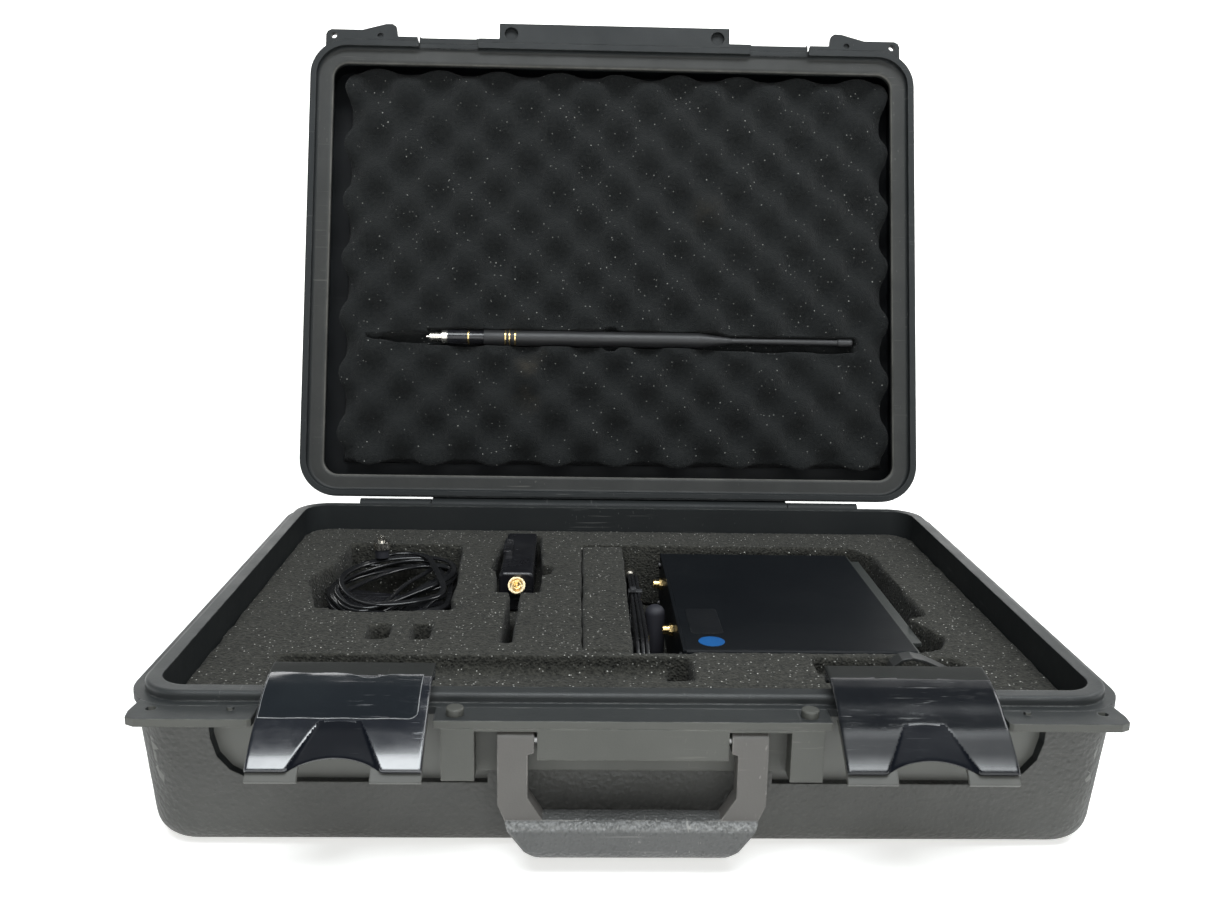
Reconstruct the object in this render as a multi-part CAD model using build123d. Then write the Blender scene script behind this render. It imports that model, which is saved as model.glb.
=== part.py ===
from build123d import *
import math
import os

os.makedirs("parts", exist_ok=True)

# ---------------------------------------------------------------------------
# Moulded carry case with a small analyzer, its charger, an RF adapter, a test
# lead and a whip antenna.  Millimetres.  Origin: centre of the underside,
# +X to the right seen from the handle side, +Y towards the hinge, +Z up.
# The lid is modelled shut and then swung open to its stop.
# ---------------------------------------------------------------------------
CASE_W = 500.0          # outside width of the rim
RIM_Z = 80.0            # height of the parting plane above the floor
RIM_FRONT = -192.0      # front edge of the rim ledge
RIM_BACK = 184.5        # back edge of the rim ledge
RIM_R = 30.0            # plan corner radius of the rim
LEDGE = 5.0             # width of the outer ledge of the lid rim
RIDGE_IN = 14.0         # inset of the inner face of the base rim
RIDGE_H = 5.0           # height of the sealing ridge on the base
BAND_IN = 18.0          # inset of the lid opening
BAND_Z = 85.5           # level of the lid's sealing band when shut
LID_TOP = 128.0         # outside top of the lid when shut
WALL = 4.0
HINGE_Y = 191.4         # hinge axis
HINGE_Z = 80.0
LID_OPEN = 106.0        # lid stop, degrees from shut
HINGE_PIN_R = 2.0
FLANGE_T = 4.0          # thickness of the front flange
LUG_X, LUG_Y, LUG_R = 231.5, -195.0, 2.5
GUIDE_X, GUIDE_Y, GUIDE_R = 85.7, -199.5, 4.3
LATCH_X = 138.1         # centre of each latch
LATCH_W = 80.4          # width of a latch
LATCH_PIVOT = (-188.0, 68.0)      # y, z of the latch pin
LEVER_PIVOT = (-174.5, 89.3)      # y, z of the lever pin
LATCH_PIN_R = 2.0
LEVER_PIN_R = 1.2
LATCH_SHUT = 65.0       # turn of a latch from lying on the rim to upright
HANDLE_PIVOT = (-202.5, 69.0)
HANDLE_PIN_R = 2.0
FOAM_TOP = 66.0
PAD_TOP = 18.0
FIT = 0.06              # radial clearance of a running fit

CX = 0.0
CY = (RIM_FRONT + RIM_BACK) / 2
DEPTH = RIM_BACK - RIM_FRONT


def rr(w, d, r, z, cx=CX, cy=CY):
    return Plane.XY.offset(z) * Pos(cx, cy) * RectangleRounded(w, d, r)


def rim(inset, z):
    """Rounded plan outline of the rim, drawn in by an inset."""
    return rr(CASE_W - 2 * inset, DEPTH - 2 * inset, max(RIM_R - inset, 5.0), z)


def prism(face, h):
    return extrude(face, amount=h, dir=(0, 0, 1))


def taper(f0, f1):
    return loft([f0, f1], ruled=True)


def block(x0, x1, y0, y1, z0, z1):
    return Pos((x0 + x1) / 2, (y0 + y1) / 2, (z0 + z1) / 2) * Box(x1 - x0, y1 - y0, z1 - z0)


def rblock(x0, x1, y0, y1, z0, z1, r):
    return prism(rr(x1 - x0, y1 - y0, r, z0, (x0 + x1) / 2, (y0 + y1) / 2), z1 - z0)


def poly(points, z0, z1):
    return prism(Plane.XY.offset(z0) * make_face(Polyline(*[(x, y, 0) for x, y in points], close=True)), z1 - z0)


def xcyl(r, x0, x1, y, z):
    """Cylinder along X."""
    return Pos((x0 + x1) / 2, y, z) * Rot(0, 90, 0) * Cylinder(r, x1 - x0)


def ycyl(r, y0, y1, x, z):
    return Pos(x, (y0 + y1) / 2, z) * Rot(90, 0, 0) * Cylinder(r, y1 - y0)


def zcyl(r, z0, z1, x, y):
    return Pos(x, y, (z0 + z1) / 2) * Cylinder(r, z1 - z0)


def yz(points, x0, x1):
    """Prism along X of a polygon given as (y, z) points."""
    f = make_face(Polyline(*[(0, y, z) for y, z in points], close=True))
    return Pos(x0, 0, 0) * extrude(f, amount=x1 - x0, dir=(1, 0, 0))


def xz(points, y0, y1):
    """Prism along Y of a polygon given as (x, z) points."""
    f = make_face(Polyline(*[(x, 0, z) for x, z in points], close=True))
    return Pos(0, y0, 0) * extrude(f, amount=y1 - y0, dir=(0, 1, 0))


def edges_at(part, axis, lo, hi, kind=None):
    e = part.edges().filter_by_position(axis, lo, hi)
    return e if kind is None else e.filter_by(kind)


def try_fillet(part, edges, r):
    for k in (1.0, 0.7, 0.45):
        try:
            out = fillet(edges, r * k)
            if out.is_valid and out.volume > 0:
                return out
        except Exception:
            pass
    print("fillet skipped", r)
    return part


def mirror_x(part):
    return mirror(part, Plane.YZ)


def open_lid(part):
    return part.rotate(Axis((0, HINGE_Y, HINGE_Z), (1, 0, 0)), -LID_OPEN)


OUT = {}


def put(name, *solids):
    flat = []
    for s in solids:
        flat += list(s.solids())
    OUT[name] = Compound(children=flat) if len(flat) > 1 else flat[0]


# --- base shell -------------------------------------------------------------
body = taper(rim(1.0, RIM_Z - FLANGE_T), rr(CASE_W - 16, DEPTH - 16, 24, 0))
body = try_fillet(body, body.edges().filter_by_position(Axis.Z, -0.1, 0.1), 15)
flange = prism(rim(0, RIM_Z - FLANGE_T), FLANGE_T)
ridge = prism(rim(LEDGE + 0.5, RIM_Z), RIDGE_H)
ridge = try_fillet(ridge, ridge.edges().filter_by_position(Axis.Z, RIM_Z + RIDGE_H - 0.1, RIM_Z + RIDGE_H + 0.1), 2.0)
base = body + flange + ridge
base -= prism(rim(RIDGE_IN, 60), 40)
low = taper(rr(488, 355.5, 16, 60.01, 0, -0.25), rr(474, 347, 16, WALL, 0, -1.5))
base -= low
# smooth recessed panels behind the latches
for s in (-1, 1):
    p = [(-206, 77), (-206, 62), (-203.5, 52), (-197.5, 44.5), (-189, 40), (-178, 38), (-71, 38), (-71, 77)]
    cut = xz([(x, z) for x, z in p], -200, -183)
    if s > 0:
        cut = mirror_x(cut)
    base -= cut & block(-300, 300, -200, -183, 30, RIM_Z - FLANGE_T)
# ledge of the rim is cut back where the latches stand
for s in (-1, 1):
    base -= block(s * LATCH_X - 42.4, s * LATCH_X + 42.4, -200, -191.0, 70, RIM_Z + 1)
put("base_shell", base)

# --- front flange of the base: ears with seal holes, middle strip -----------
ff = block(-95.5, 95.5, -207, RIM_FRONT, RIM_Z - FLANGE_T, RIM_Z)
ff_l = poly([(-181, -192), (-181, -206), (-183, -207), (-236, -207), (-240.5, -204.5), (-241.5, -198), (-240, -182), (-221, -182), (-221, -192)],
            RIM_Z - FLANGE_T, RIM_Z)
ff_l -= prism(rim(0, RIM_Z - FLANGE_T - 1), 10)
ff_l += zcyl(1.8, RIM_Z, RIM_Z + 1.4, -193.5, -195.5)
ff_l -= zcyl(LUG_R, 60, 100, -LUG_X, LUG_Y)
put("base_front_flange", ff, ff_l, mirror_x(ff_l))
gp = zcyl(GUIDE_R, RIM_Z, RIM_Z + 3.8, GUIDE_X, GUIDE_Y)
gp = try_fillet(gp, gp.edges().filter_by_position(Axis.Z, RIM_Z + 3.7, RIM_Z + 3.9), 0.8)
put("guide_pins", gp, mirror_x(gp))

# --- handle bracket under the flange ----------------------------------------
bz = RIM_Z - FLANGE_T
br = block(-92, 92, -207, -191.1, bz - 1.4, bz)
br += block(-46, 46, -207, -191.1, 60, bz)
br += block(-92, 92, -195.5, -191.1, 49, bz)
for s in (-1, 1):
    br += block(s * 84 - 8, s * 84 + 8, -207, -191.1, 49, bz)
br -= xcyl(HANDLE_PIN_R, -47, -38, *HANDLE_PIVOT)
br -= xcyl(HANDLE_PIN_R, 38, 47, *HANDLE_PIVOT)
put("handle_bracket", br)

# --- carry handle ------------------------------------------------------------
hy, hz = HANDLE_PIVOT
outline = [(65, hz), (65, 37), (60, 25), (52, 14.5), (44.5, 9), (-44.5, 9), (-52, 14.5), (-60, 25), (-65, 37), (-65, hz)]
inner = [(-47.4, 80), (-47.4, 64), (-50.4, 63), (-50.4, 40.5), (-43.2, 28.9), (43.2, 28.9), (50.4, 40.5), (50.4, 63), (47.4, 64), (47.4, 80)]
u = xz(outline, hy - 5.2, hy + 5.2)
for s in (-1, 1):
    u += xcyl(5.2, min(s * 47.4, s * 65), max(s * 47.4, s * 65), hy, hz)
u -= xz(inner, hy - 30, hy + 30)
gsec = Plane.YZ.offset(-66) * Pos(hy - 0.5, 18.95) * RectangleRounded(17.6, 20.5, 6.6)
grip = extrude(gsec, amount=132, dir=(1, 0, 0)) & xz(outline[1:-1], hy - 20, hy + 20)
hnd = u + grip
for s in (-1, 1):
    hnd -= xcyl(HANDLE_PIN_R + FIT, min(s * 46, s * 62), max(s * 46, s * 62), hy, hz)
put("carry_handle", hnd)
hp = xcyl(HANDLE_PIN_R, 38, 61.6, hy, hz)
put("handle_pins", hp, mirror_x(hp))

# --- hinge --------------------------------------------------------------------
KR = 5.4


def knuckle(x0, x1, bore):
    k = xcyl(KR, x0, x1, HINGE_Y, HINGE_Z)
    return k


bl = []
for x0, x1 in ((-200, -143.6), (143.6, 200)):
    k = knuckle(x0, x1, 0)
    k += yz([(RIM_BACK, 62), (RIM_BACK, 75.9), (HINGE_Y - 5.0, 80), (HINGE_Y + 5.2, 79), (HINGE_Y + 1, 71)], x0, x1)
    k -= block(-300, 300, 100, RIM_BACK + 0.02, 50, 100)
    k -= xcyl(HINGE_PIN_R, x0 - 1, x1 + 1, HINGE_Y, HINGE_Z)
    bl.append(k)
put("base_hinge_leaves", *bl)
put("hinge_pin", xcyl(HINGE_PIN_R, -199.5, 199.5, HINGE_Y, HINGE_Z))
k = knuckle(-143, 143, 0)
k += yz([(RIM_BACK + 0.02, 84.1), (RIM_BACK + 0.02, 98), (HINGE_Y + 1, 89), (HINGE_Y + 5.2, 81), (HINGE_Y - 5.0, 80.2)], -143, 143)
k -= block(-300, 300, 100, RIM_BACK + 0.02, 50, 130)
k -= xcyl(HINGE_PIN_R + FIT, -144, 144, HINGE_Y, HINGE_Z)
put("lid_hinge_leaf", open_lid(k))

# --- lid ----------------------------------------------------------------------
lid = prism(rim(0, RIM_Z), 6.0)
dome = taper(rim(1.0, RIM_Z + 6.0), rr(CASE_W - 12, DEPTH - 12, 25, LID_TOP))
dome = try_fillet(dome, dome.edges().filter_by_position(Axis.Z, LID_TOP - 0.1, LID_TOP + 0.1), 14)
lid += dome
lid -= prism(rim(LEDGE, RIM_Z - 1), BAND_Z - RIM_Z + 1)
lid -= prism(rim(BAND_IN, RIM_Z - 1), 12.0)
lid = try_fillet(lid, lid.edges().filter_by_position(Axis.Z, BAND_Z - 0.05, BAND_Z + 0.05).filter_by(
    lambda e: abs(e.center().X) < CASE_W / 2 - LEDGE - 4 and abs(e.center().Y - CY) < DEPTH / 2 - LEDGE - 4), 2.6)
cav = taper(rr(487, DEPTH - 13, 18, 90.99), rr(477, DEPTH - 22, 16, LID_TOP - WALL))
lid -= cav
for s in (-1, 1):        # gaps in the ledge at the latch catches
    lid -= block(s * 137.5 - 24.5, s * 137.5 + 24.5, -200, RIM_FRONT + LEDGE + 0.01, 70, BAND_Z)
lid -= block(-300, 300, RIM_BACK - 1.0, 200, 79, 80.6)   # hinge-side relief
put("lid_shell", open_lid(lid))


def lidplate(points, z0, z1):
    return poly(points, z0, z1)


PT = BAND_Z          # top of the lid's flange plates when shut
ear = lidplate([(-163, -192), (-163, -195.1), (-179.3, -195.1), (-180.5, -203.5), (-183.5, -205.6), (-189, -205.4),
                (-205, -201.0), (-208, -200.1), (-233.5, -200.1), (-236.6, -198.6), (-238, -195.5), (-238, -180), (-221, -180), (-221, -192)], RIM_Z, PT)
ear -= prism(rim(0, RIM_Z - 1), 10)
ear -= zcyl(LUG_R, 60, 100, -LUG_X, LUG_Y)
ear -= zcyl(2.3, RIM_Z - 1, RIM_Z + 2.2, -193.5, -195.5)
mid = block(-95.5, 95.5, -208.1, -192, RIM_Z, PT)
mid += block(-112.5, 112.5, -195.1, -192, RIM_Z, PT)
for s in (-1, 1):
    mid -= zcyl(GUIDE_R + 1.3, RIM_Z - 1, RIM_Z + 4.2, s * GUIDE_X, GUIDE_Y)
catch = lidplate([(-162, -192), (-162, -196.8), (-161, -197.6), (-160.2, -196.5), (-114.8, -196.5), (-114, -197.6), (-113, -196.8), (-113, -192)],
                 PT, PT + 3.0)
catch += block(-160, -115, -196.5, -194.2, PT + 3.0, PT + 7.0)
put("lid_front_flange", open_lid(ear), open_lid(mirror_x(ear)), open_lid(mid), open_lid(catch), open_lid(mirror_x(catch)))

# lid foam: outer shape of the convoluted sheet, with the antenna's slot
LF = (-223.5, 231.5, -171.6, 157.9, 93.0, 123.6)
foam = rblock(*LF, 8)
ANT_Y, ANT_Z = 50.9, 101.0
foam -= rblock(-203, 206.5, ANT_Y - 7.4, ANT_Y + 7.4, 92, 108.6, 2)
foam -= zcyl(9.0, 92, 114, 0, ANT_Y)
put("lid_foam", open_lid(foam))

# --- antenna (modelled in its slot, lid shut) ---------------------------------


def ax(r, x0, x1):
    return xcyl(r, x0, x1, ANT_Y, ANT_Z)


plug = ax(3.9, -150, -140) + ax(1.2, -153, -150)
put("antenna_plug", open_lid(plug))
nut = ax(5.8, -140, -135.4)
put("antenna_flange", open_lid(nut))
grip_a = ax(6.0, -135.4, -118.6)
put("antenna_coupling", open_lid(grip_a))
put("antenna_collar", open_lid(ax(5.6, -117.4, -105.4)))
sl = ax(6.3, -105.4, 74) + Pos((74 + 100) / 2, ANT_Y, ANT_Z) * Rot(0, 90, 0) * Cone(6.3, 2.8, 26)
for x in (-88.0, -84.6, -80.0):
    sl -= ax(8, x, x + 1.1) - ax(5.9, x - 1, x + 2.1)
put("antenna_sleeve", open_lid(sl))
b = [ax(6.15, -118.6, -117.4)] + [ax(6.65, x, x + 1.1) - ax(5.9, x - 1, x + 2.1) for x in (-88.0, -84.6, -80.0)]
put("antenna_bands", *[open_lid(q) for q in b])
put("antenna_whip", open_lid(ax(2.5, 100, 190)))
tip = ax(3.2, 190, 202.5)
tip = try_fillet(tip, tip.edges().filter_by_position(Axis.X, 202.4, 202.6), 1.2)
put("antenna_tip", open_lid(tip))

# --- latches ------------------------------------------------------------------
# outer face of the lever from its bottom edge to its top edge, (y, z), lying on the rim
PROFILE = [(-231.5, 66.5), (-226.5, 70.8), (-222.0, 74.1), (-214.0, 79.4), (-206.0, 83.6), (-199.0, 87.8),
           (-192.0, 90.8), (-183.0, 93.0), (-175.0, 94.2), (-170.0, 94.5)]


def offset_line(pts, d):
    out = []
    for i, p in enumerate(pts):
        a = pts[max(i - 1, 0)]
        b_ = pts[min(i + 1, len(pts) - 1)]
        ty, tz = b_[0] - a[0], b_[1] - a[1]
        n = math.hypot(ty, tz)
        out.append((p[0] + d * tz / n, p[1] - d * ty / n))
    return out


def strip(d0, d1, i0=0, i1=None):
    pts = PROFILE[i0:i1]
    return offset_line(pts, d0) + offset_line(pts, d1)[::-1]


x0, x1 = -LATCH_X - LATCH_W / 2, -LATCH_X + LATCH_W / 2
ay, az = LATCH_PIVOT
by, bz_ = LEVER_PIVOT
lever = yz(strip(0.0, 2.3), x0, x1)
# finger cut at the bottom edge
ny, nz = -0.62, 0.785
cyl = Cylinder(37, 60)
ang = math.degrees(math.atan2(-ny, nz))
cut = Pos(-LATCH_X, -231.5 - 0.785 * 29.5, 66.5 - 0.62 * 29.5) * Rot(ang, 0, 0) * cyl
lever -= cut
for a_, b_ in ((x0, x0 + 9.0), (x1 - 9.0, x1)):
    lever += xcyl(2.6, a_, b_, by, bz_) + yz([(by - 2.4, bz_), (by + 2.4, bz_), (by + 1.9, 92.2), (by - 2.9, 91.9)], a_, b_)
lever -= xcyl(LEVER_PIN_R + FIT, x0 - 1, x1 + 1, by, bz_)
put("left_latch_lever", lever)
put("right_latch_lever", mirror_x(lever))
lp = xcyl(LEVER_PIN_R, x0 + 0.5, x1 - 0.5, by, bz_)
put("left_lever_pin", lp)
put("right_lever_pin", mirror_x(lp))

bx0, bx1 = x0 + 9.4, x1 - 9.4
PB = [(-234.6, 63.4)] + PROFILE
PROFILE_SAVE = PROFILE
PROFILE = PB
lbody = yz(strip(2.6, 4.8, 0, 6), x0, x1)
lbody += yz(strip(2.6, 4.8, 4, 10), bx0, bx1)
lbody -= block(-LATCH_X - 16.5, -LATCH_X + 16.5, -245, -221.0, 50, 78)
PROFILE = PROFILE_SAVE
lbody -= xcyl(3.4, bx0 - 1, bx1 + 1, by, bz_)
lbody += xcyl(2.6, bx0, bx1, by, bz_)
lbody += yz([(by - 2.5, bz_ + 0.4), (by - 2.2, bz_ - 1.2), (by - 6.0, 87.5), (by - 6.0, 90.3)], bx0, bx1)
for a_, b_ in ((bx0, bx0 + 5.0), (bx1 - 5.0, bx1)):
    cheek = yz([(-207.0, 78.2), (-220.0, 70.5), (-222.5, 67.8), (-203.0, 63.8), (ay, az - 4.2), (ay + 2.5, az + 3.2), (-195.5, 73.6)], a_, b_)
    cheek += xcyl(4.2, a_, b_, ay, az)
    lbody += cheek
lbody -= xcyl(LATCH_PIN_R + FIT, x0, x1, ay, az)
lbody -= xcyl(LEVER_PIN_R, x0 - 1, x1 + 1, by, bz_)
put("left_latch_body", lbody)
put("right_latch_body", mirror_x(lbody))
film = yz(strip(-0.25, 0.0, 2, 10), x0 + 4, x1 - 2.5) - block(x0 - 5, x1 + 5, -240, -212.0, 40, 110)
put("left_lever_film", film)

mount = block(-LATCH_X - 19, -LATCH_X + 19, -185.0, -183.0, 60, 75.9)
for c in (-8.0, 8.0):
    l_ = yz([(-183.5, 62), (-183.5, 75), (ay, az + 4), (ay, az - 4)], -LATCH_X + c - 5, -LATCH_X + c + 5) + xcyl(4.0, -LATCH_X + c - 5, -LATCH_X + c + 5, ay, az)
    mount += l_
mount -= xcyl(LATCH_PIN_R, -200, -80, ay, az)
put("latch_mounts", mount, mirror_x(mount))
pin = xcyl(LATCH_PIN_R, bx0 + 0.4, bx1 - 0.4, ay, az)
put("latch_pins", pin, mirror_x(pin))

# --- foam in the base -----------------------------------------------------------
put("base_foam_pad", rblock(-234.5, 234.5, -171.5, 169.5, WALL + 0.3, PAD_TOP, 12))
fb = rblock(-235.4, 235.4, -173.0, 170.0, PAD_TOP + 0.3, FOAM_TOP, 16)
POCKET_A = [(-196, 130), (-113, 129), (-108.5, 35), (-110, 13), (-105, -13), (-163, -19), (-193, -11), (-209, 45), (-199, 80)]
fb -= poly(POCKET_A, 10, 80)
fb -= block(-153, -140.5, -65, -41, 34, 80)
fb -= block(-126.5, -115, -65, -40, 34, 80)
ADAPT = [(-81.5, 21), (-52.5, 21), (-51, 57), (-45, 60), (-43.5, 75), (-51.5, 82), (-55, 158), (-80, 158), (-83.5, 119), (-88, 75), (-82.5, 61)]
fb -= poly(ADAPT, 41.6, 80)
fb -= poly([(-73, -69), (-66, -69), (-64.5, 23), (-71.5, 23)], 22, 80)
POCKET_D = [(-24.2, -81), (8, -84), (171, -82), (189, -75), (197, -57), (184, -23), (197, -16), (194, 112), (180, 130), (-22.8, 132)]
fb -= poly(POCKET_D, 10, 80)
fb -= rblock(-196, 38, -125, -91, 56, 80, 2)
fb -= block(25, 38, -123, -91, 42, 80)
fb -= rblock(108, 194, -113, -90, 40, 80, 4)
put("base_foam", fb)
put("foam_divider", poly([(-23.6, -80), (6.2, -82.5), (8.2, 130.5), (-22.0, 130.5)], PAD_TOP + 0.3, FOAM_TOP - 0.3))

# --- analyzer -------------------------------------------------------------------
AX0, AX1, AY0, AY1, AZ0, AZ1 = 38.0, 176.0, -74.0, 121.0, 20.0, 63.5
hs = block(AX0, AX1, AY0, AY1, AZ0, AZ1)
hs = try_fillet(hs, hs.edges().filter_by(Axis.X), 2.0)
hs -= block(AX0 - 1, AX1 + 1, AY0 + 2, AY1 - 2, AZ0 + 2, AZ1 - 2)
hs += block(AX0 + 3, AX1 - 3, AY0 + 2, AY0 + 5, 32.0, 34.0) + block(AX0 + 3, AX1 - 3, AY1 - 5, AY1 - 2, 32.0, 34.0)
put("analyzer_housing", hs)
put("circuit_board", block(AX0 + 6, AX1 - 6, AY0 + 2.2, AY1 - 2.2, 34.0, 35.6) + block(70, 96, -20, 6, 35.6, 38.0) + block(110, 140, 30, 60, 35.6, 38.4)
    + block(60, 78, 60, 84, 35.6, 37.6))
lpn = block(AX0 - 2.0, AX0, AY0, AY1, AZ0, AZ1)
CONN = [(89.0, 50.0), (-4.0, 50.0)]
for y, z in CONN:
    lpn -= xcyl(3.2, AX0 - 3, AX0 + 1, y, z)
put("analyzer_front_panel", lpn)
rp = block(AX1, AX1 + 2.0, AY0, AY1, AZ0, AZ1 - 1.5)
rp += block(AX1, AX1 + 8.0, AY0 + 20, AY1 - 10, AZ1 - 4.5, AZ1 - 2.0)
put("analyzer_rear_panel", rp)
ps = []
for y in (AY0 + 8, AY1 - 8):
    for z in (AZ0 + 7, AZ1 - 7):
        ps.append(xcyl(2.8, AX0 - 3.4, AX0 - 2.0, y, z) - block(AX0 - 4, AX0 - 3.0, y - 2, y + 2, z - 0.35, z + 0.35) - block(AX0 - 4, AX0 - 3.0, y - 0.35, y + 0.35, z - 2, z + 2))
put("panel_screws", *ps)
cs, ns = [], []
for y, z in CONN:
    cs.append(xcyl(3.1, AX0 - 8.6, AX0 + 3.0, y, z) - xcyl(2.1, AX0 - 9, AX0 - 3.0, y, z) + xcyl(0.6, AX0 - 7.5, AX0 - 3.0, y, z))
    hexa = Plane.YZ.offset(AX0 - 4.4) * Pos(y, z) * RegularPolygon(4.3, 6)
    ns.append(extrude(hexa, amount=2.4, dir=(1, 0, 0)) - xcyl(3.1, AX0 - 9, AX0, y, z))
put("rf_connectors", *cs)
put("rf_connector_nuts", *ns)
put("rubber_feet", *[zcyl(5, PAD_TOP + 0.3, AZ0, x, y) for x in (AX0 + 14, AX1 - 14) for y in (AY0 + 14, AY1 - 14)])
put("blank_label", rblock(43.5, 63.5, -46.0, -2.0, AZ1, AZ1 + 0.25, 2.5))
put("marker_dot", zcyl(8.0, AZ1, AZ1 + 0.25, 54.5, -59.5))

# --- test lead beside the analyzer -------------------------------------------------
LC = (8.9, 17.7, -72.0, 106.0, 19.4, 60.5)      # coil box


def racetrack(y0, y1, z0, z1, r):
    return Plane.YZ * Pos((y0 + y1) / 2, (z0 + z1) / 2) * RectangleRounded(y1 - y0, z1 - z0, r)


coil = Pos(LC[0], 0, 0) * extrude(racetrack(LC[2], LC[3], LC[4], LC[5], 20.0), amount=LC[1] - LC[0], dir=(1, 0, 0))
put("lead_coil", coil)
tie = block(LC[0] - 0.3, LC[1] + 0.3, 38.5, 43.5, LC[4] - 0.9, LC[5] + 0.9) - block(LC[0], LC[1], 38, 44, LC[4], LC[5])
tie += block(10.0, 14.0, 38.5, 43.5, LC[5] + 0.9, LC[5] + 2.6)
put("lead_tie", tie)
boot = zcyl(6.6, PAD_TOP + 0.4, 61.0, 25.2, 12.0)
boot = try_fillet(boot, boot.edges().filter_by_position(Axis.Z, 60.9, 61.1), 5.5)
boot += xcyl(1.9, LC[1], 25.0, 12.0, 29.0)
put("lead_boot", boot)
lpg = ycyl(3.2, 106.0, 112.0, 13.3, 48.0) + ycyl(4.0, 112.0, 121.0, 13.3, 48.0)
put("lead_plug", lpg)

# --- charger with its twin flex and plug --------------------------------------------
CH_H = 27.5
ch = block(-40, 40, -25, 25, 0, CH_H)
ch = try_fillet(ch, ch.edges().filter_by(Axis.Z), 6.0)
ch = try_fillet(ch, ch.edges().filter_by_position(Axis.Z, CH_H - 0.1, CH_H + 0.1), 2.5)
for i in range(9):
    ch -= block(-22 + i * 4.2, -20.2 + i * 4.2, -14, 14, CH_H - 1.2, CH_H + 1)
CHP = Pos(-157, 48, PAD_TOP + 0.5) * Rot(0, 0, -20)
CH_TOP = PAD_TOP + 0.5 + CH_H
COIL_Z = 49.0
put("charger_housing", CHP * ch)
GL = (-131.0, 32.0)
gl = Pos(GL[0], GL[1], (CH_TOP + COIL_Z) / 2) * Cone(3.6, 2.6, COIL_Z - CH_TOP)
put("charger_gland", gl)
COIL = [(-186, 124.5), (-119, 123.5), (-112.5, 108), (-112, 38), (-115, 10), (-132, 3.5), (-165, -3), (-188, 9), (-203, 46), (-194.5, 80), (-192.5, 110)]
cc = poly(COIL, COIL_Z, COIL_Z + 13.5)
cc = try_fillet(cc, cc.edges().filter_by(Axis.Z), 9.0)
cc = try_fillet(cc, cc.edges().filter_by_position(Axis.Z, COIL_Z + 13.4, COIL_Z + 13.6), 3.0)
put("power_cord_coil", cc)
PLX, PLY = -170.0, 108.0
pb = zcyl(5.0, COIL_Z + 13.5, 69.0, PLX, PLY)
put("dc_plug_boot", pb)
pr = zcyl(5.9, 69.0, 74.5, PLX, PLY) + zcyl(2.7, 74.5, 78.5, PLX, PLY)
pr -= zcyl(1.1, 75.5, 79.0, PLX, PLY)
put("dc_plug_shell", pr)

# --- RF adapter -----------------------------------------------------------------------
ad = block(-80, -57, 60, 148, 42.0, 70.0)
ad = try_fillet(ad, ad.edges().filter_by(Axis.Y), 2.5)
put("adapter_housing", ad)
cap = block(-80.6, -56.6, 50, 60, 42.0, 70.3)
cap = try_fillet(cap, cap.edges().filter_by(Axis.Y), 4.0)
cap = try_fillet(cap, cap.edges().filter_by_position(Axis.Y, 49.9, 50.1), 2.0)
put("adapter_end_cap", cap)
put("adapter_clip", block(-80, -73.5, 92, 124, 70.0, 73.0) - block(-79, -74.5, 96, 120, 71.2, 74))
jx, jy, jz = -68.0, 50.0, 59.0       # foot of the jack on the end cap
JTILT = 33.0                          # its axis points forward and up


def jack(part):
    return Pos(jx, jy, jz) * Rot(90 - JTILT, 0, 0) * part


rj = Pos(0, 0, 3.0) * Cylinder(3.15, 12.0) - Pos(0, 0, 7.5) * Cylinder(2.2, 5.0) + Pos(0, 0, 6.5) * Cylinder(0.6, 4.0)
rj = jack(rj) - block(-90, -40, 50.0, 70, 40, 80)
put("rf_jack", rj)
rjr = Pos(0, 0, 6.1) * Cylinder(5.9, 4.6) - Pos(0, 0, 6.6) * Cylinder(4.7, 4.6) - Pos(0, 0, 6) * Cylinder(3.15, 12)
put("rf_jack_ring", jack(rjr))

# --- spring clip lying in the small slot on the right -----------------------------------
c0 = [(150, 62), (152, 68), (157, 72.0), (163, 73.0), (170, 71.5), (178, 68.0), (186, 64.0)]


def thick(pts, t):
    n = len(pts)
    o = []
    for i in range(n):
        a, b_ = pts[max(i - 1, 0)], pts[min(i + 1, n - 1)]
        tx, tz = b_[0] - a[0], b_[1] - a[1]
        m = math.hypot(tx, tz)
        o.append((pts[i][0] + t * tz / m, pts[i][1] - t * tx / m))
    return pts + o[::-1]


clip = xz(thick(c0, 1.4), -107.0, -97.0) + xz(thick([(150, 40.5), (149.4, 50), (150, 62)], 1.4), -107.0, -97.0)
put("spring_clip", clip)

for name, shape in OUT.items():
    export_step(shape, "parts/%s.step" % name)
print(len(OUT), "nodes")
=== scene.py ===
import math

import bmesh
import bpy
import numpy as np
from mathutils import Matrix, Vector, noise


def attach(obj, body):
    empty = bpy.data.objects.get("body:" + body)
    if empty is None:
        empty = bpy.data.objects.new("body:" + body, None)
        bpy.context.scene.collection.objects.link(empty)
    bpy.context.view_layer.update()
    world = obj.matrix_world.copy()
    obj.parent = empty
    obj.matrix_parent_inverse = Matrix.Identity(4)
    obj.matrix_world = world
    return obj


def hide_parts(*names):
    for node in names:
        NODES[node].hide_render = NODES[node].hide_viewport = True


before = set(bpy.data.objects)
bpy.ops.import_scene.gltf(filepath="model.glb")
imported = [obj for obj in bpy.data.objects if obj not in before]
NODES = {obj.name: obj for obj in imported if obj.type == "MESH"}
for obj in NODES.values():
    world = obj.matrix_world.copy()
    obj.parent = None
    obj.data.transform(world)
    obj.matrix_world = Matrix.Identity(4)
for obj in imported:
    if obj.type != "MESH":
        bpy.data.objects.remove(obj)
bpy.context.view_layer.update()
SCENE = bpy.context.scene

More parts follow.
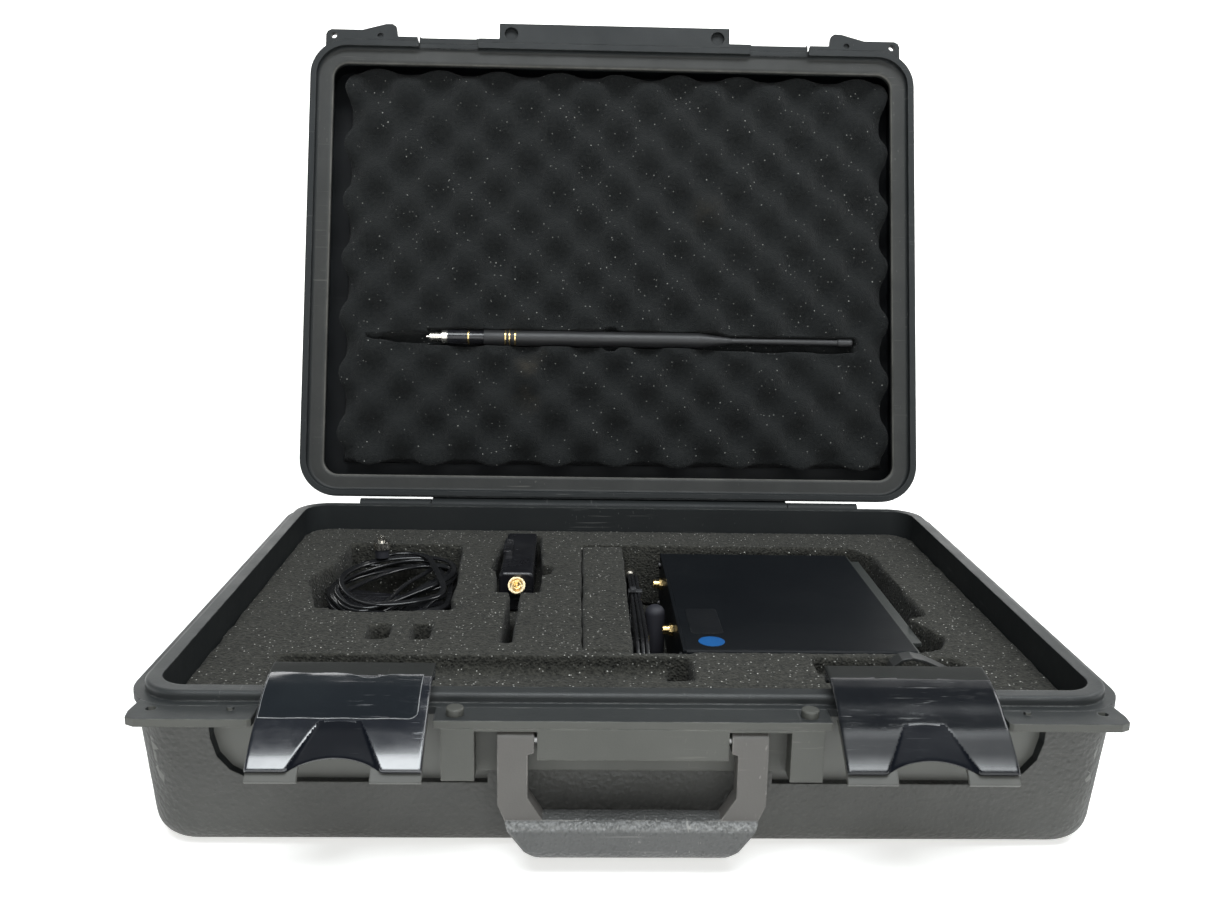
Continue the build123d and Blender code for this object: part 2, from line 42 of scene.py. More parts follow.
# ------------------------------------------------------------------ camera
cam_data = bpy.data.cameras.new("camera")
cam_data.sensor_width = 36.0
cam_data.lens = 34.72
cam_data.clip_start, cam_data.clip_end = 0.01, 60.0
cam = bpy.data.objects.new("camera", cam_data)
SCENE.collection.objects.link(cam)
SCENE.camera = cam
yaw, pitch, roll = math.radians(1.75), math.radians(12.22), math.radians(-1.10)
fwd = Vector((math.sin(yaw) * math.cos(pitch), math.cos(yaw) * math.cos(pitch), -math.sin(pitch)))
right = Vector((math.cos(yaw), -math.sin(yaw), 0.0))
down = fwd.cross(right)
r2 = math.cos(roll) * right + math.sin(roll) * down
d2 = -math.sin(roll) * right + math.cos(roll) * down
rot = Matrix((r2, -d2, -fwd)).transposed().to_4x4()
rot.translation = Vector((-0.0311, -0.7237, 0.3217))
cam.matrix_world = rot


# ------------------------------------------------------------------ materials
class Mat:
    """A small helper that builds one node material."""

    def __init__(self, name):
        self.m = bpy.data.materials.new(name)
        self.m.use_nodes = True
        self.t = self.m.node_tree
        self.t.nodes.clear()
        self.out = self.n("ShaderNodeOutputMaterial")
        self.b = self.n("ShaderNodeBsdfPrincipled")
        self.link(self.b.outputs[0], self.out.inputs["Surface"])
        self.co = self.n("ShaderNodeTexCoord").outputs["Object"]

    def n(self, kind, **props):
        node = self.t.nodes.new(kind)
        for k, v in props.items():
            setattr(node, k, v)
        return node

    def link(self, a, b):
        self.t.links.new(a, b)

    def set(self, **values):
        for k, v in values.items():
            s = self.b.inputs[k.replace("_", " ")]
            s.default_value = (*v, 1.0) if isinstance(v, (tuple, list)) and len(v) == 3 else v
        return self

    def noise(self, scale, detail=3.0, rough=0.55, stretch=None, lac=2.0, dist=0.0):
        n = self.n("ShaderNodeTexNoise")
        n.inputs["Scale"].default_value = scale
        n.inputs["Detail"].default_value = detail
        n.inputs["Roughness"].default_value = rough
        n.inputs["Lacunarity"].default_value = lac
        n.inputs["Distortion"].default_value = dist
        self.link(self.mapped(stretch), n.inputs["Vector"])
        return n.outputs["Fac"]

    def mapped(self, stretch):
        if stretch is None:
            return self.co
        m = self.n("ShaderNodeMapping")
        m.inputs["Scale"].default_value = stretch
        self.link(self.co, m.inputs["Vector"])
        return m.outputs[0]

    def voronoi(self, scale, feature="F1", out="Distance", stretch=None, rnd=1.0):
        n = self.n("ShaderNodeTexVoronoi", feature=feature)
        n.inputs["Scale"].default_value = scale
        n.inputs["Randomness"].default_value = rnd
        self.link(self.mapped(stretch), n.inputs["Vector"])
        return n.outputs[out]

    def ramp(self, fac, stops, interp="LINEAR"):
        r = self.n("ShaderNodeValToRGB")
        r.color_ramp.interpolation = interp
        e = r.color_ramp.elements
        while len(e) < len(stops):
            e.new(0.5)
        for el, (p, c) in zip(e, stops):
            el.position = p
            el.color = (c, c, c, 1.0) if isinstance(c, (int, float)) else (*c, 1.0)
        self.link(fac, r.inputs["Fac"])
        return r.outputs["Color"]

    def math(self, op, a, b=None, clamp=False):
        n = self.n("ShaderNodeMath", operation=op, use_clamp=clamp)
        for i, v in enumerate((a, b)):
            if v is None:
                continue
            if isinstance(v, (int, float)):
                n.inputs[i].default_value = v
            else:
                self.link(v, n.inputs[i])
        return n.outputs[0]

    def mix(self, fac, a, b, blend="MIX"):
        n = self.n("ShaderNodeMix", data_type="RGBA", blend_type=blend)
        for key, v in (("Factor", fac), ("A", a), ("B", b)):
            s = n.inputs[0] if key == "Factor" else (n.inputs[6] if key == "A" else n.inputs[7])
            if isinstance(v, (int, float)):
                s.default_value = v if key == "Factor" else (v, v, v, 1.0)
            elif isinstance(v, tuple):
                s.default_value = (*v, 1.0)
            else:
                self.link(v, s)
        return n.outputs[2]

    def range(self, v, a, b, c, d):
        n = self.n("ShaderNodeMapRange")
        self.link(v, n.inputs["Value"])
        for k, x in zip(("From Min", "From Max", "To Min", "To Max"), (a, b, c, d)):
            n.inputs[k].default_value = x
        return n.outputs[0]

    def bevel(self, radius):
        """One bevel node per material, shared by the worn edges and the softened normal."""
        if not hasattr(self, "bv"):
            self.bv = self.n("ShaderNodeBevel", samples=2)
            self.bv.inputs["Radius"].default_value = radius
        return self.bv.outputs[0]

    def edge(self, radius=0.0012, lo=0.02, hi=0.16):
        """0 on flats, 1 on sharp convex or concave edges."""
        geo = self.n("ShaderNodeNewGeometry")
        d = self.n("ShaderNodeVectorMath", operation="DOT_PRODUCT")
        self.link(self.bevel(radius), d.inputs[0])
        self.link(geo.outputs["Normal"], d.inputs[1])
        inv = self.math("SUBTRACT", 1.0, d.outputs["Value"], clamp=True)
        return self.range(inv, lo, hi, 0.0, 1.0)

    def upness(self):
        geo = self.n("ShaderNodeNewGeometry")
        s = self.n("ShaderNodeSeparateXYZ")
        self.link(geo.outputs["Normal"], s.inputs[0])
        return s.outputs[2]

    def height(self, *pairs, dist=0.0004, strength=0.5, soft=None):
        """Adds weighted heights into one bump; soft rounds edges with a bevel radius."""
        total = None
        for v, w in pairs:
            x = self.math("MULTIPLY", v, w)
            total = x if total is None else self.math("ADD", total, x)
        bmp = self.n("ShaderNodeBump")
        bmp.inputs["Distance"].default_value = dist
        bmp.inputs["Strength"].default_value = strength
        self.link(total, bmp.inputs["Height"])
        if soft:
            self.link(self.bevel(soft), bmp.inputs["Normal"])
        self.link(bmp.outputs[0], self.b.inputs["Normal"])
        return self

    def color(self, v):
        self.link(v, self.b.inputs["Base Color"])
        return self

    def rough(self, v):
        self.link(v, self.b.inputs["Roughness"])
        return self


def plastic(name, col, col2, rough=(0.42, 0.6), grain=900.0, grain_h=0.6, patch=14.0, scuff=0.25, wear=(0.16, 0.16, 0.155), wear_amt=0.5,
            spec=0.5, soft=0.0006, dist=0.00025, strength=0.45, dust=0.0, edge_r=0.0011, pebble=None, lip_highlight=0.0):
    m = Mat(name)
    base = m.mix(m.ramp(m.noise(patch, 4, 0.6), [(0.3, 0.0), (0.72, 1.0)]), col, col2)
    # broad hand-grease and dirt clouds
    cloud = m.ramp(m.noise(patch * 0.35, 5, 0.65, dist=0.4), [(0.4, 0.0), (0.7, 1.0)])
    base = m.mix(m.math("MULTIPLY", cloud, 0.35), base, tuple(0.7 * c for c in col))
    # fine scratches, long one way and the other
    sc1 = m.ramp(m.noise(60, 2, 0.5, stretch=(0.35, 9.0, 9.0)), [(0.665, 0.0), (0.7, 1.0)])
    sc2 = m.ramp(m.noise(60, 2, 0.5, stretch=(9.0, 0.5, 4.0)), [(0.69, 0.0), (0.72, 1.0)])
    mask = m.ramp(m.noise(9.0, 3, 0.6), [(0.5, 0.0), (0.66, 1.0)])
    scr = m.math("MULTIPLY", m.math("MAXIMUM", sc1, sc2), mask)
    base = m.mix(m.math("MULTIPLY", scr, scuff), base, wear)
    # worn edges, broken up
    e = m.edge(edge_r)
    brk = m.ramp(m.noise(70, 4, 0.7), [(0.42, 0.0), (0.62, 1.0)])
    worn = m.math("MULTIPLY", m.math("MULTIPLY", e, brk), wear_amt, clamp=True)
    base = m.mix(worn, base, wear)
    if lip_highlight:
        # painted highlight: a pale band along the rounded edge of the lip round the lid's opening, broken up by noise
        sp_ = m.n("ShaderNodeSeparateXYZ")
        m.link(m.co, sp_.inputs[0])
        t_ = math.radians(106.0)
        wy = m.math("MULTIPLY", m.math("SUBTRACT", sp_.outputs[1], 0.1914), math.sin(t_))
        wz = m.math("MULTIPLY", m.math("SUBTRACT", sp_.outputs[2], 0.08), math.cos(t_))
        w_ = m.math("ADD", wy, wz)
        highlight_band = m.ramp(m.range(w_, 0.0053, 0.0085, 0.0, 1.0), [(0.0, 0.0), (0.16, 0.25), (0.38, 1.0), (0.62, 0.5), (1.0, 0.0)])
        brk2 = m.ramp(m.noise(38, 4, 0.7), [(0.25, 0.35), (0.62, 1.0)])
        base = m.mix(m.math("MULTIPLY", m.math("MULTIPLY", highlight_band, brk2), lip_highlight), base, wear)
    if dust:
        d = m.ramp(m.upness(), [(0.55, 0.0), (0.95, 1.0)])
        dn = m.ramp(m.noise(45, 5, 0.7), [(0.35, 0.2), (0.75, 1.0)])
        base = m.mix(m.math("MULTIPLY", m.math("MULTIPLY", d, dn), dust), base, (0.2, 0.195, 0.18))
    m.color(base)
    rg = m.range(m.noise(patch * 2.2, 4, 0.6), 0.3, 0.7, rough[0], rough[1])
    m.rough(m.math("ADD", rg, m.math("MULTIPLY", scr, 0.12), clamp=True))
    hs = [(m.noise(grain, 2, 0.5), grain_h), (m.noise(grain * 0.28, 3, 0.5), grain_h * 0.8), (scr, -0.35)]
    if pebble:
        v = m.voronoi(pebble, "SMOOTH_F1")
        hs.append((m.ramp(v, [(0.0, 1.0), (0.75, 0.0)]), 1.4))
    m.height(*hs, dist=dist, strength=strength, soft=soft)
    m.set(Specular_IOR_Level=spec)
    return m.m


def paint_grip_highlight(m):
    """Painted highlight: paler speckle along the rounded top edge of the grip, on faces turned up and forward."""
    t = m.node_tree
    b = next(n for n in t.nodes if n.type == "BSDF_PRINCIPLED")
    src = b.inputs["Base Color"].links[0].from_socket
    h = Mat.__new__(Mat)
    h.m, h.t, h.b = m, t, b
    tcn = h.n("ShaderNodeTexCoord")
    h.co = tcn.outputs["Object"]
    sp_ = h.n("ShaderNodeSeparateXYZ")
    h.link(tcn.outputs["Normal"], sp_.inputs[0])
    # the painted highlight falls on faces turned up and towards the front
    highlight_band = h.ramp(sp_.outputs[2], [(0.28, 0.0), (0.5, 1.0), (0.78, 1.0), (0.95, 0.0)])
    front = h.ramp(h.math("MULTIPLY", sp_.outputs[1], -1.0), [(0.1, 0.0), (0.35, 1.0)])
    spk = h.ramp(h.noise(620, 3, 0.7), [(0.38, 0.15), (0.62, 1.0)])
    ln = h.ramp(h.noise(26, 4, 0.6, stretch=(0.4, 1.0, 1.0)), [(0.3, 0.45), (0.65, 1.0)])
    amt = h.math("MULTIPLY", h.math("MULTIPLY", highlight_band, front), h.math("MULTIPLY", spk, ln))
    h.color(h.mix(h.math("MULTIPLY", amt, 0.44), src, (0.36, 0.36, 0.345)))


def foam_mat(name, col, dark, light, cell=1150.0, speck=0.12, speck_scale=360.0, speck_pick=0.3, speck_col=(0.5, 0.49, 0.46), stain=None):
    m = Mat(name)
    base = m.mix(m.ramp(m.noise(11, 5, 0.65), [(0.3, 0.0), (0.7, 1.0)]), dark, col)
    cells = m.voronoi(cell)
    base = m.mix(m.math("MULTIPLY", m.ramp(cells, [(0.15, 1.0), (0.5, 0.0)]), 0.6), base, tuple(0.35 * c for c in dark))
    mid = m.ramp(m.noise(420, 3, 0.65), [(0.35, 0.0), (0.7, 1.0)])
    base = m.mix(m.math("MULTIPLY", mid, 0.5), base, light)
    if stain:
        for x, y, z, r, amt in stain:
            v = m.n("ShaderNodeVectorMath", operation="DISTANCE")
            m.link(m.co, v.inputs[0])
            v.inputs[1].default_value = (x, y, z)
            near = m.range(v.outputs["Value"], 0.0, r, 1.0, 0.0)
            near = m.math("MULTIPLY", near, m.ramp(m.noise(110, 5, 0.7), [(0.36, 0.0), (0.68, 1.0)]))
            base = m.mix(m.math("MULTIPLY", near, amt, clamp=True), base, (0.13, 0.105, 0.07))
    # pale lint specks, and painted highlights standing in for cut-cell glints
    lint_and_glint = m.ramp(m.voronoi(speck_scale, rnd=1.0), [(speck, 1.0), (speck + 0.04, 0.0)])
    pick = m.ramp(m.voronoi(speck_scale, out="Color"), [(speck_pick, 0.0), (0.93, 1.0)])
    base = m.mix(m.math("MULTIPLY", lint_and_glint, pick), base, speck_col)
    m.color(base)
    m.rough(m.range(m.noise(90, 3, 0.5), 0.3, 0.7, 0.88, 1.0))
    m.height((cells, 1.0), (m.noise(420, 3, 0.65), 0.9), (m.noise(120, 3, 0.5), 0.7), dist=0.0011, strength=0.75)
    m.set(Specular_IOR_Level=0.12, Sheen_Weight=0.05)
    return m.m


def metal(name, col, col2, rough=(0.16, 0.36), grain=(1.0, 1.0, 1.0), spots=0.3):
    m = Mat(name)
    tar = m.ramp(m.noise(260, 5, 0.65), [(0.42, 0.0), (0.72, 1.0)])
    m.color(m.mix(m.math("MULTIPLY", tar, spots), col, col2))
    m.rough(m.range(m.noise(300, 3, 0.6, stretch=grain), 0.3, 0.7, rough[0], rough[1]))
    m.height((m.noise(900, 2, 0.5, stretch=grain), 1.0), dist=0.00008, strength=0.35, soft=0.00035)
    m.set(Metallic=1.0)
    return m.m


def glossy(name, col, col2, rough=(0.12, 0.28), scuff=0.3, smudge=0.5, soft=0.0006, scratch_along=(0.5, 10.0, 10.0), wear=(0.3, 0.3, 0.31), wear_amt=0.35,
           coat=0.0, spec=0.55, dull=None):
    m = Mat(name)
    base = m.mix(m.ramp(m.noise(20, 4, 0.6), [(0.3, 0.0), (0.7, 1.0)]), col, col2)
    sc = m.ramp(m.noise(75, 3, 0.6, stretch=scratch_along), [(0.64, 0.0), (0.70, 1.0)])
    mask = m.ramp(m.noise(28, 4, 0.6), [(0.47, 0.0), (0.62, 1.0)])
    scr = m.math("MULTIPLY", sc, mask)
    rub = m.ramp(m.noise(210, 4, 0.7, stretch=(0.5, 2.0, 2.0)), [(0.5, 0.0), (0.75, 1.0)])
    rub = m.math("MULTIPLY", rub, m.ramp(m.noise(22, 3, 0.6), [(0.48, 0.0), (0.68, 1.0)]))
    base = m.mix(m.math("MULTIPLY", m.math("MAXIMUM", scr, m.math("MULTIPLY", rub, 0.5)), scuff), base, wear)
    e = m.edge(0.0008)
    brk = m.ramp(m.noise(90, 4, 0.7), [(0.4, 0.0), (0.6, 1.0)])
    base = m.mix(m.math("MULTIPLY", m.math("MULTIPLY", e, brk), wear_amt, clamp=True), base, wear)
    m.color(base)
    r0 = m.range(m.noise(48, 5, 0.65), 0.35, 0.7, rough[0], rough[1])
    r0 = m.math("ADD", r0, m.math("MULTIPLY", rub, 0.25 * smudge))
    if dull:
        # rubbed matt above the bright lower edge
        sp_ = m.n("ShaderNodeSeparateXYZ")
        m.link(m.co, sp_.inputs[0])
        zz = m.math("ADD", sp_.outputs[2], m.math("MULTIPLY", m.noise(60, 3, 0.6), 0.0012))
        r0 = m.math("ADD", r0, m.math("MULTIPLY", m.range(zz, dull[0], dull[1], 0.0, dull[2]), m.range(zz, 0.0772, 0.0815, 1.0, 0.0)))
    m.rough(m.math("ADD", r0, m.math("MULTIPLY", scr, 0.2), clamp=True))
    m.height((m.noise(70, 2, 0.5), 0.6), (scr, -0.4), (m.noise(1500, 2, 0.5), 0.25), dist=0.00012, strength=0.3, soft=soft)
    m.set(Specular_IOR_Level=spec, Coat_Weight=coat, Coat_Roughness=0.08)
    return m.m


M = {}
M["case"] = plastic("case_plastic", (0.0100, 0.0118, 0.0126), (0.0150, 0.0168, 0.0172), spec=0.26, rough=(0.50, 0.62), grain=1300, grain_h=0.5, scuff=0.3, wear=(0.13, 0.13, 0.125),
                    wear_amt=0.45)
# the lid band plastic carries the painted highlight along its lip
M["case_in"] = plastic("case_band", (0.0135, 0.0145, 0.0142), (0.0195, 0.0202, 0.0192), spec=0.28, rough=(0.46, 0.58), grain=1300, grain_h=0.5, scuff=0.3, wear=(0.17, 0.165, 0.15), wear_amt=0.7,
                       soft=0.0010, lip_highlight=0.75)
# painted light: a lighter copy of the case plastic for the upward rim and flange tops; its strong edge wear is partly
# wear, partly painted highlight lines along the ridge
M["rim"] = plastic("case_rim_painted_light", (0.0195, 0.0216, 0.0222), (0.0275, 0.0295, 0.0292), spec=0.38, rough=(0.36, 0.5), grain=1300, grain_h=0.5, scuff=0.3, wear=(0.23, 0.23, 0.22),
                   wear_amt=0.75, edge_r=0.0013, soft=0.0010)
# painted shade: a near-black copy of the case plastic for the lid's inner walls and floor behind the foam, where shade
# falls
M["inner_painted_shade"] = plastic("lid_inner_painted_shade", (0.0035, 0.0048, 0.0062), (0.0050, 0.0062, 0.0075), rough=(0.5, 0.62), grain=1300, scuff=0.05, wear_amt=0.0, spec=0.22)
M["case_out"] = plastic("case_pebbled", (0.038, 0.038, 0.035), (0.052, 0.052, 0.047), rough=(0.52, 0.68), grain=620, grain_h=1.0, pebble=380, dist=0.0006, strength=0.75,
                        scuff=0.25, wear=(0.14, 0.135, 0.12), wear_amt=0.5)
M["smooth"] = plastic("case_smooth_panel", (0.078, 0.079, 0.071), (0.096, 0.096, 0.086), rough=(0.42, 0.52), grain=1500, grain_h=0.3, scuff=0.15, wear_amt=0.25)
M["bracket"] = plastic("bracket_plastic", (0.046, 0.047, 0.0405), (0.060, 0.060, 0.052), rough=(0.5, 0.64), grain=1100, grain_h=0.5, scuff=0.15, wear=(0.26, 0.25, 0.22),
                       wear_amt=0.45)
M["handle"] = plastic("handle_plastic", (0.066, 0.0615, 0.0565), (0.084, 0.0785, 0.072), rough=(0.46, 0.6), grain=900, grain_h=0.6, scuff=0.45, wear=(0.42, 0.40, 0.37),
                      wear_amt=0.7, edge_r=0.0012)
M["grip"] = plastic("handle_grip", (0.050, 0.051, 0.050), (0.076, 0.076, 0.074), rough=(0.30, 0.46), grain=480, grain_h=1.3, pebble=560, dist=0.0006, strength=0.85,
                    scuff=0.45, wear=(0.34, 0.33, 0.31), wear_amt=0.7, edge_r=0.0018)
paint_grip_highlight(M["grip"])
M["latch"] = glossy("latch_gloss", (0.0045, 0.0055, 0.0085), (0.008, 0.0095, 0.014), rough=(0.17, 0.25), scuff=0.14, coat=0.3, wear_amt=0.12, spec=0.8)
# the finger scoop: a matt, darker copy of the lever plastic with its reflection cut, as painted shade
M["latch_scoop_painted_shade"] = glossy("latch_scoop_painted_shade", (0.0028, 0.0035, 0.0055), (0.005, 0.006, 0.0085), rough=(0.30, 0.42), scuff=0.10, coat=0.0, wear_amt=0.1, spec=0.04)
M["latch_top"] = plastic("latch_top", (0.0105, 0.0113, 0.0104), (0.0160, 0.0166, 0.0150), spec=0.22, rough=(0.5, 0.62), grain=1200, scuff=0.15, wear_amt=0.35)
M["latch_worn"] = glossy("latch_gloss_worn", (0.0040, 0.0047, 0.0064), (0.0075, 0.0083, 0.0100), rough=(0.155, 0.215), scuff=0.34, smudge=0.7, coat=0.0, wear_amt=0.2, spec=0.42, dull=(0.0688, 0.0735, 0.44),
                         wear=(0.20, 0.20, 0.195))
M["film"] = glossy("clear_film", (0.0055, 0.0070, 0.0095), (0.010, 0.0125, 0.015), rough=(0.07, 0.14), scuff=0.10, coat=0.5, wear=(0.4, 0.4, 0.42), wear_amt=0.0)
M["film_edge"] = plastic("film_edge", (0.16, 0.165, 0.17), (0.40, 0.40, 0.40), rough=(0.2, 0.35), grain=900, scuff=0.0, wear_amt=0.0, patch=240)
M["latch_frame"] = plastic("latch_frame", (0.056, 0.056, 0.050), (0.074, 0.073, 0.065), rough=(0.5, 0.62), grain=1200, scuff=0.12, wear_amt=0.3, wear=(0.2, 0.2, 0.18))
M["steel"] = metal("steel", (0.42, 0.42, 0.42), (0.12, 0.10, 0.08), rough=(0.25, 0.45), grain=(0.3, 4, 4))
M["black_screw"] = metal("black_screw", (0.06, 0.06, 0.062), (0.16, 0.15, 0.14), rough=(0.3, 0.5))
M["gold"] = metal("gold", (0.90, 0.66, 0.30), (0.42, 0.25, 0.10), rough=(0.14, 0.3))
M["brass_light"] = metal("brass_light", (0.62, 0.50, 0.31), (0.30, 0.21, 0.11), rough=(0.24, 0.36))
M["nickel"] = metal("nickel", (0.80, 0.77, 0.71), (0.4, 0.34, 0.27), rough=(0.16, 0.3))
M["base_foam"] = foam_mat("base_foam", (0.0258, 0.0257, 0.0227), (0.0160, 0.0159, 0.0142), (0.083, 0.080, 0.068), cell=620, speck=0.14, speck_col=(0.6, 0.59, 0.55))
# painted shade: a near-black copy of the foam for the lid foam's cut sides
M["foam_side_painted_shade"] = foam_mat("foam_side_painted_shade", (0.0045, 0.0052, 0.0060), (0.003, 0.0036, 0.0042), (0.007, 0.0075, 0.008), cell=1250, speck=0.05, speck_col=(0.1, 0.1, 0.1))
M["lid_foam"] = foam_mat("lid_foam", (0.0112, 0.0124, 0.0126), (0.0085, 0.0096, 0.0100), (0.021, 0.0218, 0.0212), cell=1250, speck=0.11, speck_scale=250, speck_pick=0.5,
                         speck_col=(0.32, 0.32, 0.30),
                         stain=[(-0.068, 0.2285, 0.198, 0.022, 0.55), (-0.070, 0.226, 0.160, 0.016, 0.42), (-0.075, 0.237, 0.232, 0.014, 0.3), (0.078, 0.258, 0.32, 0.03, 0.2)])
M["anodised"] = plastic("anodised_black", (0.0034, 0.0043, 0.0058), (0.0050, 0.0060, 0.0074), rough=(0.46, 0.54), grain=2200, grain_h=0.3, patch=8, scuff=0.05,
                        wear=(0.08, 0.08, 0.08), wear_amt=0.12, soft=0.0008, spec=0.15)
M["panel"] = plastic("panel_grey", (0.028, 0.031, 0.029), (0.036, 0.039, 0.036), rough=(0.40, 0.5), grain=1500, scuff=0.1, wear_amt=0.15)
M["board"] = plastic("board_green", (0.008, 0.060, 0.024), (0.012, 0.085, 0.035), rough=(0.3, 0.45), grain=900, scuff=0.0, wear_amt=0.1)
M["label"] = plastic("label_black", (0.006, 0.007, 0.0085), (0.009, 0.0095, 0.011), rough=(0.34, 0.44), grain=1800, scuff=0.1, wear=(0.13, 0.13, 0.125), wear_amt=1.0, spec=0.3,
                     edge_r=0.0006)
M["dot"] = plastic("dot_blue", (0.003, 0.070, 0.235), (0.005, 0.095, 0.285), rough=(0.55, 0.65), grain=1500, patch=90, scuff=0.15, wear=(0.2, 0.4, 0.7), wear_amt=0.1, spec=0.3)
M["cord"] = glossy("cord_black", (0.007, 0.007, 0.008), (0.012, 0.012, 0.013), rough=(0.14, 0.26), scuff=0.08, soft=None, wear_amt=0.0, spec=0.65)
M["lead"] = glossy("lead_black", (0.008, 0.008, 0.009), (0.012, 0.012, 0.013), rough=(0.22, 0.34), scuff=0.08, soft=None, wear_amt=0.0, spec=0.6)
M["boot"] = plastic("boot_rubber", (0.013, 0.013, 0.018), (0.020, 0.020, 0.027), rough=(0.6, 0.75), grain=1300, scuff=0.1, wear_amt=0.1)
M["feet"] = plastic("feet_rubber", (0.012, 0.012, 0.012), (0.02, 0.02, 0.02), rough=(0.7, 0.85), grain=1200, scuff=0.1, wear_amt=0.2)
M["abs"] = glossy("abs_black", (0.005, 0.005, 0.0065), (0.009, 0.009, 0.011), rough=(0.18, 0.32), scuff=0.3, soft=0.0006, wear=(0.3, 0.3, 0.31))
M["sleeve"] = plastic("antenna_rubber", (0.012, 0.012, 0.013), (0.018, 0.018, 0.019), rough=(0.42, 0.55), grain=1200, grain_h=0.4, scuff=0.15, wear_amt=0.05,
                      wear=(0.1, 0.1, 0.1))
M["tie"] = plastic("tie_nylon", (0.035, 0.035, 0.038), (0.05, 0.05, 0.053), rough=(0.3, 0.42), grain=1400, scuff=0.1, wear_amt=0.2)
M["clip"] = plastic("clip_grey", (0.018, 0.019, 0.0185), (0.028, 0.0285, 0.028), rough=(0.4, 0.55), grain=1200, scuff=0.2, wear_amt=0.5)

NODE_MAT = {
    "base_shell": "case_out", "base_front_flange": "case", "guide_pins": "bracket", "handle_bracket": "bracket",
    "carry_handle": "handle", "handle_pins": "steel", "base_hinge_leaves": "case", "hinge_pin": "steel", "lid_hinge_leaf": "case",
    "lid_shell": "case", "lid_front_flange": "case",
    "antenna_plug": "nickel", "antenna_flange": "nickel", "antenna_coupling": "abs", "antenna_collar": "abs", "antenna_bands": "gold",
    "antenna_sleeve": "sleeve", "antenna_whip": "sleeve", "antenna_tip": "sleeve",
    "left_lever_pin": "steel", "right_lever_pin": "steel", "left_latch_body": "latch_frame", "right_latch_body": "latch_frame",
    "left_latch_lever": "latch", "right_latch_lever": "latch_worn", "left_lever_film": "film",
    "latch_mounts": "latch_frame", "latch_pins": "steel",
    "base_foam_pad": "base_foam", "base_foam": "base_foam", "foam_divider": "base_foam", "lid_foam": "lid_foam",
    "analyzer_housing": "anodised", "circuit_board": "board", "analyzer_front_panel": "anodised", "analyzer_rear_panel": "panel",
    "panel_screws": "black_screw", "rf_connectors": "gold", "rf_connector_nuts": "gold", "rubber_feet": "feet", "blank_label": "label", "marker_dot": "dot",
    "lead_coil": "lead", "lead_tie": "tie", "lead_boot": "boot", "lead_plug": "nickel",
    "charger_housing": "abs", "charger_gland": "boot", "power_cord_coil": "cord", "dc_plug_boot": "boot", "dc_plug_shell": "nickel",
    "adapter_housing": "abs", "adapter_end_cap": "abs", "adapter_clip": "abs", "rf_jack": "gold", "rf_jack_ring": "brass_light", "spring_clip": "clip",
}


def paint(o, *keys):
    o.data.materials.clear()
    for k in keys:
        o.data.materials.append(M[k])
    return o


for n, o in NODES.items():
    paint(o, NODE_MAT[n])
    for p in o.data.polygons:
        p.material_index = 0


def paint_by(node, keys, pick):
    """Several finishes on one moulding, chosen face by face."""
    o = paint(NODES[node], *keys)
    for p in o.data.polygons:
        c = p.center
        p.material_index = pick(c.x * 1000, c.y * 1000, c.z * 1000, p.normal)


def lid_coords(y, z):
    """(v, w) of a point on the open lid: v from the hinge axis, w in from the rim plane."""
    t = math.radians(106.0)
    dy, dz = y - 191.4, z - 80.0
    return -(dy * math.cos(t) - dz * math.sin(t)), dy * math.sin(t) + dz * math.cos(t)


def base_pick(x, y, z, n):
    # faces above the rim plane take the lighter painted-light rim plastic
    if z > 79.4:
        return 3
    if 37.5 < z < 76.2 and -184.0 < y < -182.5 and n.y < -0.8:
        return 1
    if z >= 75.5 or (n.x * x + n.y * (y + 3.75)) < 0 and z < 80:
        return 0
    return 2


def lid_pick(x, y, z, n):
    v, w = lid_coords(y, z)
    ny_l = -(n.y * math.cos(math.radians(106.0)) - n.z * math.sin(math.radians(106.0)))
    out = n.x * x + ny_l * (v - 195.15)
    if w > 45.0 or w > 12.0 and out > 5.0:
        return 2
    # the lid's inner walls and floor take the near-black painted-shade plastic
    if w > 12.0 and abs(x) < 246 and 9 < v < 380:
        return 3
    if w > 6.2 and (out > 0.5 * abs(x) * 0.02 and (abs(x) > 236 or v < 13 or v > 377)) or w > 44.5:
        return 2
    if 5.0 < w < 12.5 and (abs(x) < 244 and 13 < v < 378):
        return 1
    return 0


paint_by("base_shell", ("case", "smooth", "case_out", "rim"), base_pick)
paint_by("lid_shell", ("case", "case_in", "case_out", "inner_painted_shade"), lid_pick)
# upward flange faces take the lighter painted-light rim plastic
paint_by("base_front_flange", ("case", "bracket", "rim"), lambda x, y, z, n: 1 if n.y < -0.7 else 2 if n.z > 0.7 else 0)
paint_by("carry_handle", ("handle", "grip"), lambda x, y, z, n: 1 if z < 29.6 and not (y < -207.0 and y > -208.0 and n.y < -0.9) else 0)
paint_by("left_latch_body", ("latch_frame", "latch_top"), lambda x, y, z, n: 1 if z > 90.5 else 0)
paint_by("right_latch_body", ("latch_frame", "latch_top"), lambda x, y, z, n: 1 if z > 90.5 else 0)


# ------------------------------------------------------------------ mesh helpers
def obj_from(name, verts, faces, mats=("case",), smooth=True):
    me = bpy.data.meshes.new(name)
    me.from_pydata([tuple(v) for v in verts], [], [tuple(f) for f in faces])
    me.update()
    o = bpy.data.objects.new(name, me)
    SCENE.collection.objects.link(o)
    for k in mats:
        me.materials.append(M[k])
    if smooth:
        for p in me.polygons:
            p.use_smooth = True
    return o


def apply_mods(o):
    dg = bpy.context.evaluated_depsgraph_get()
    me = bpy.data.meshes.new_from_object(o.evaluated_get(dg))
    old = o.data
    o.modifiers.clear()
    o.data = me
    bpy.data.meshes.remove(old)
    return o


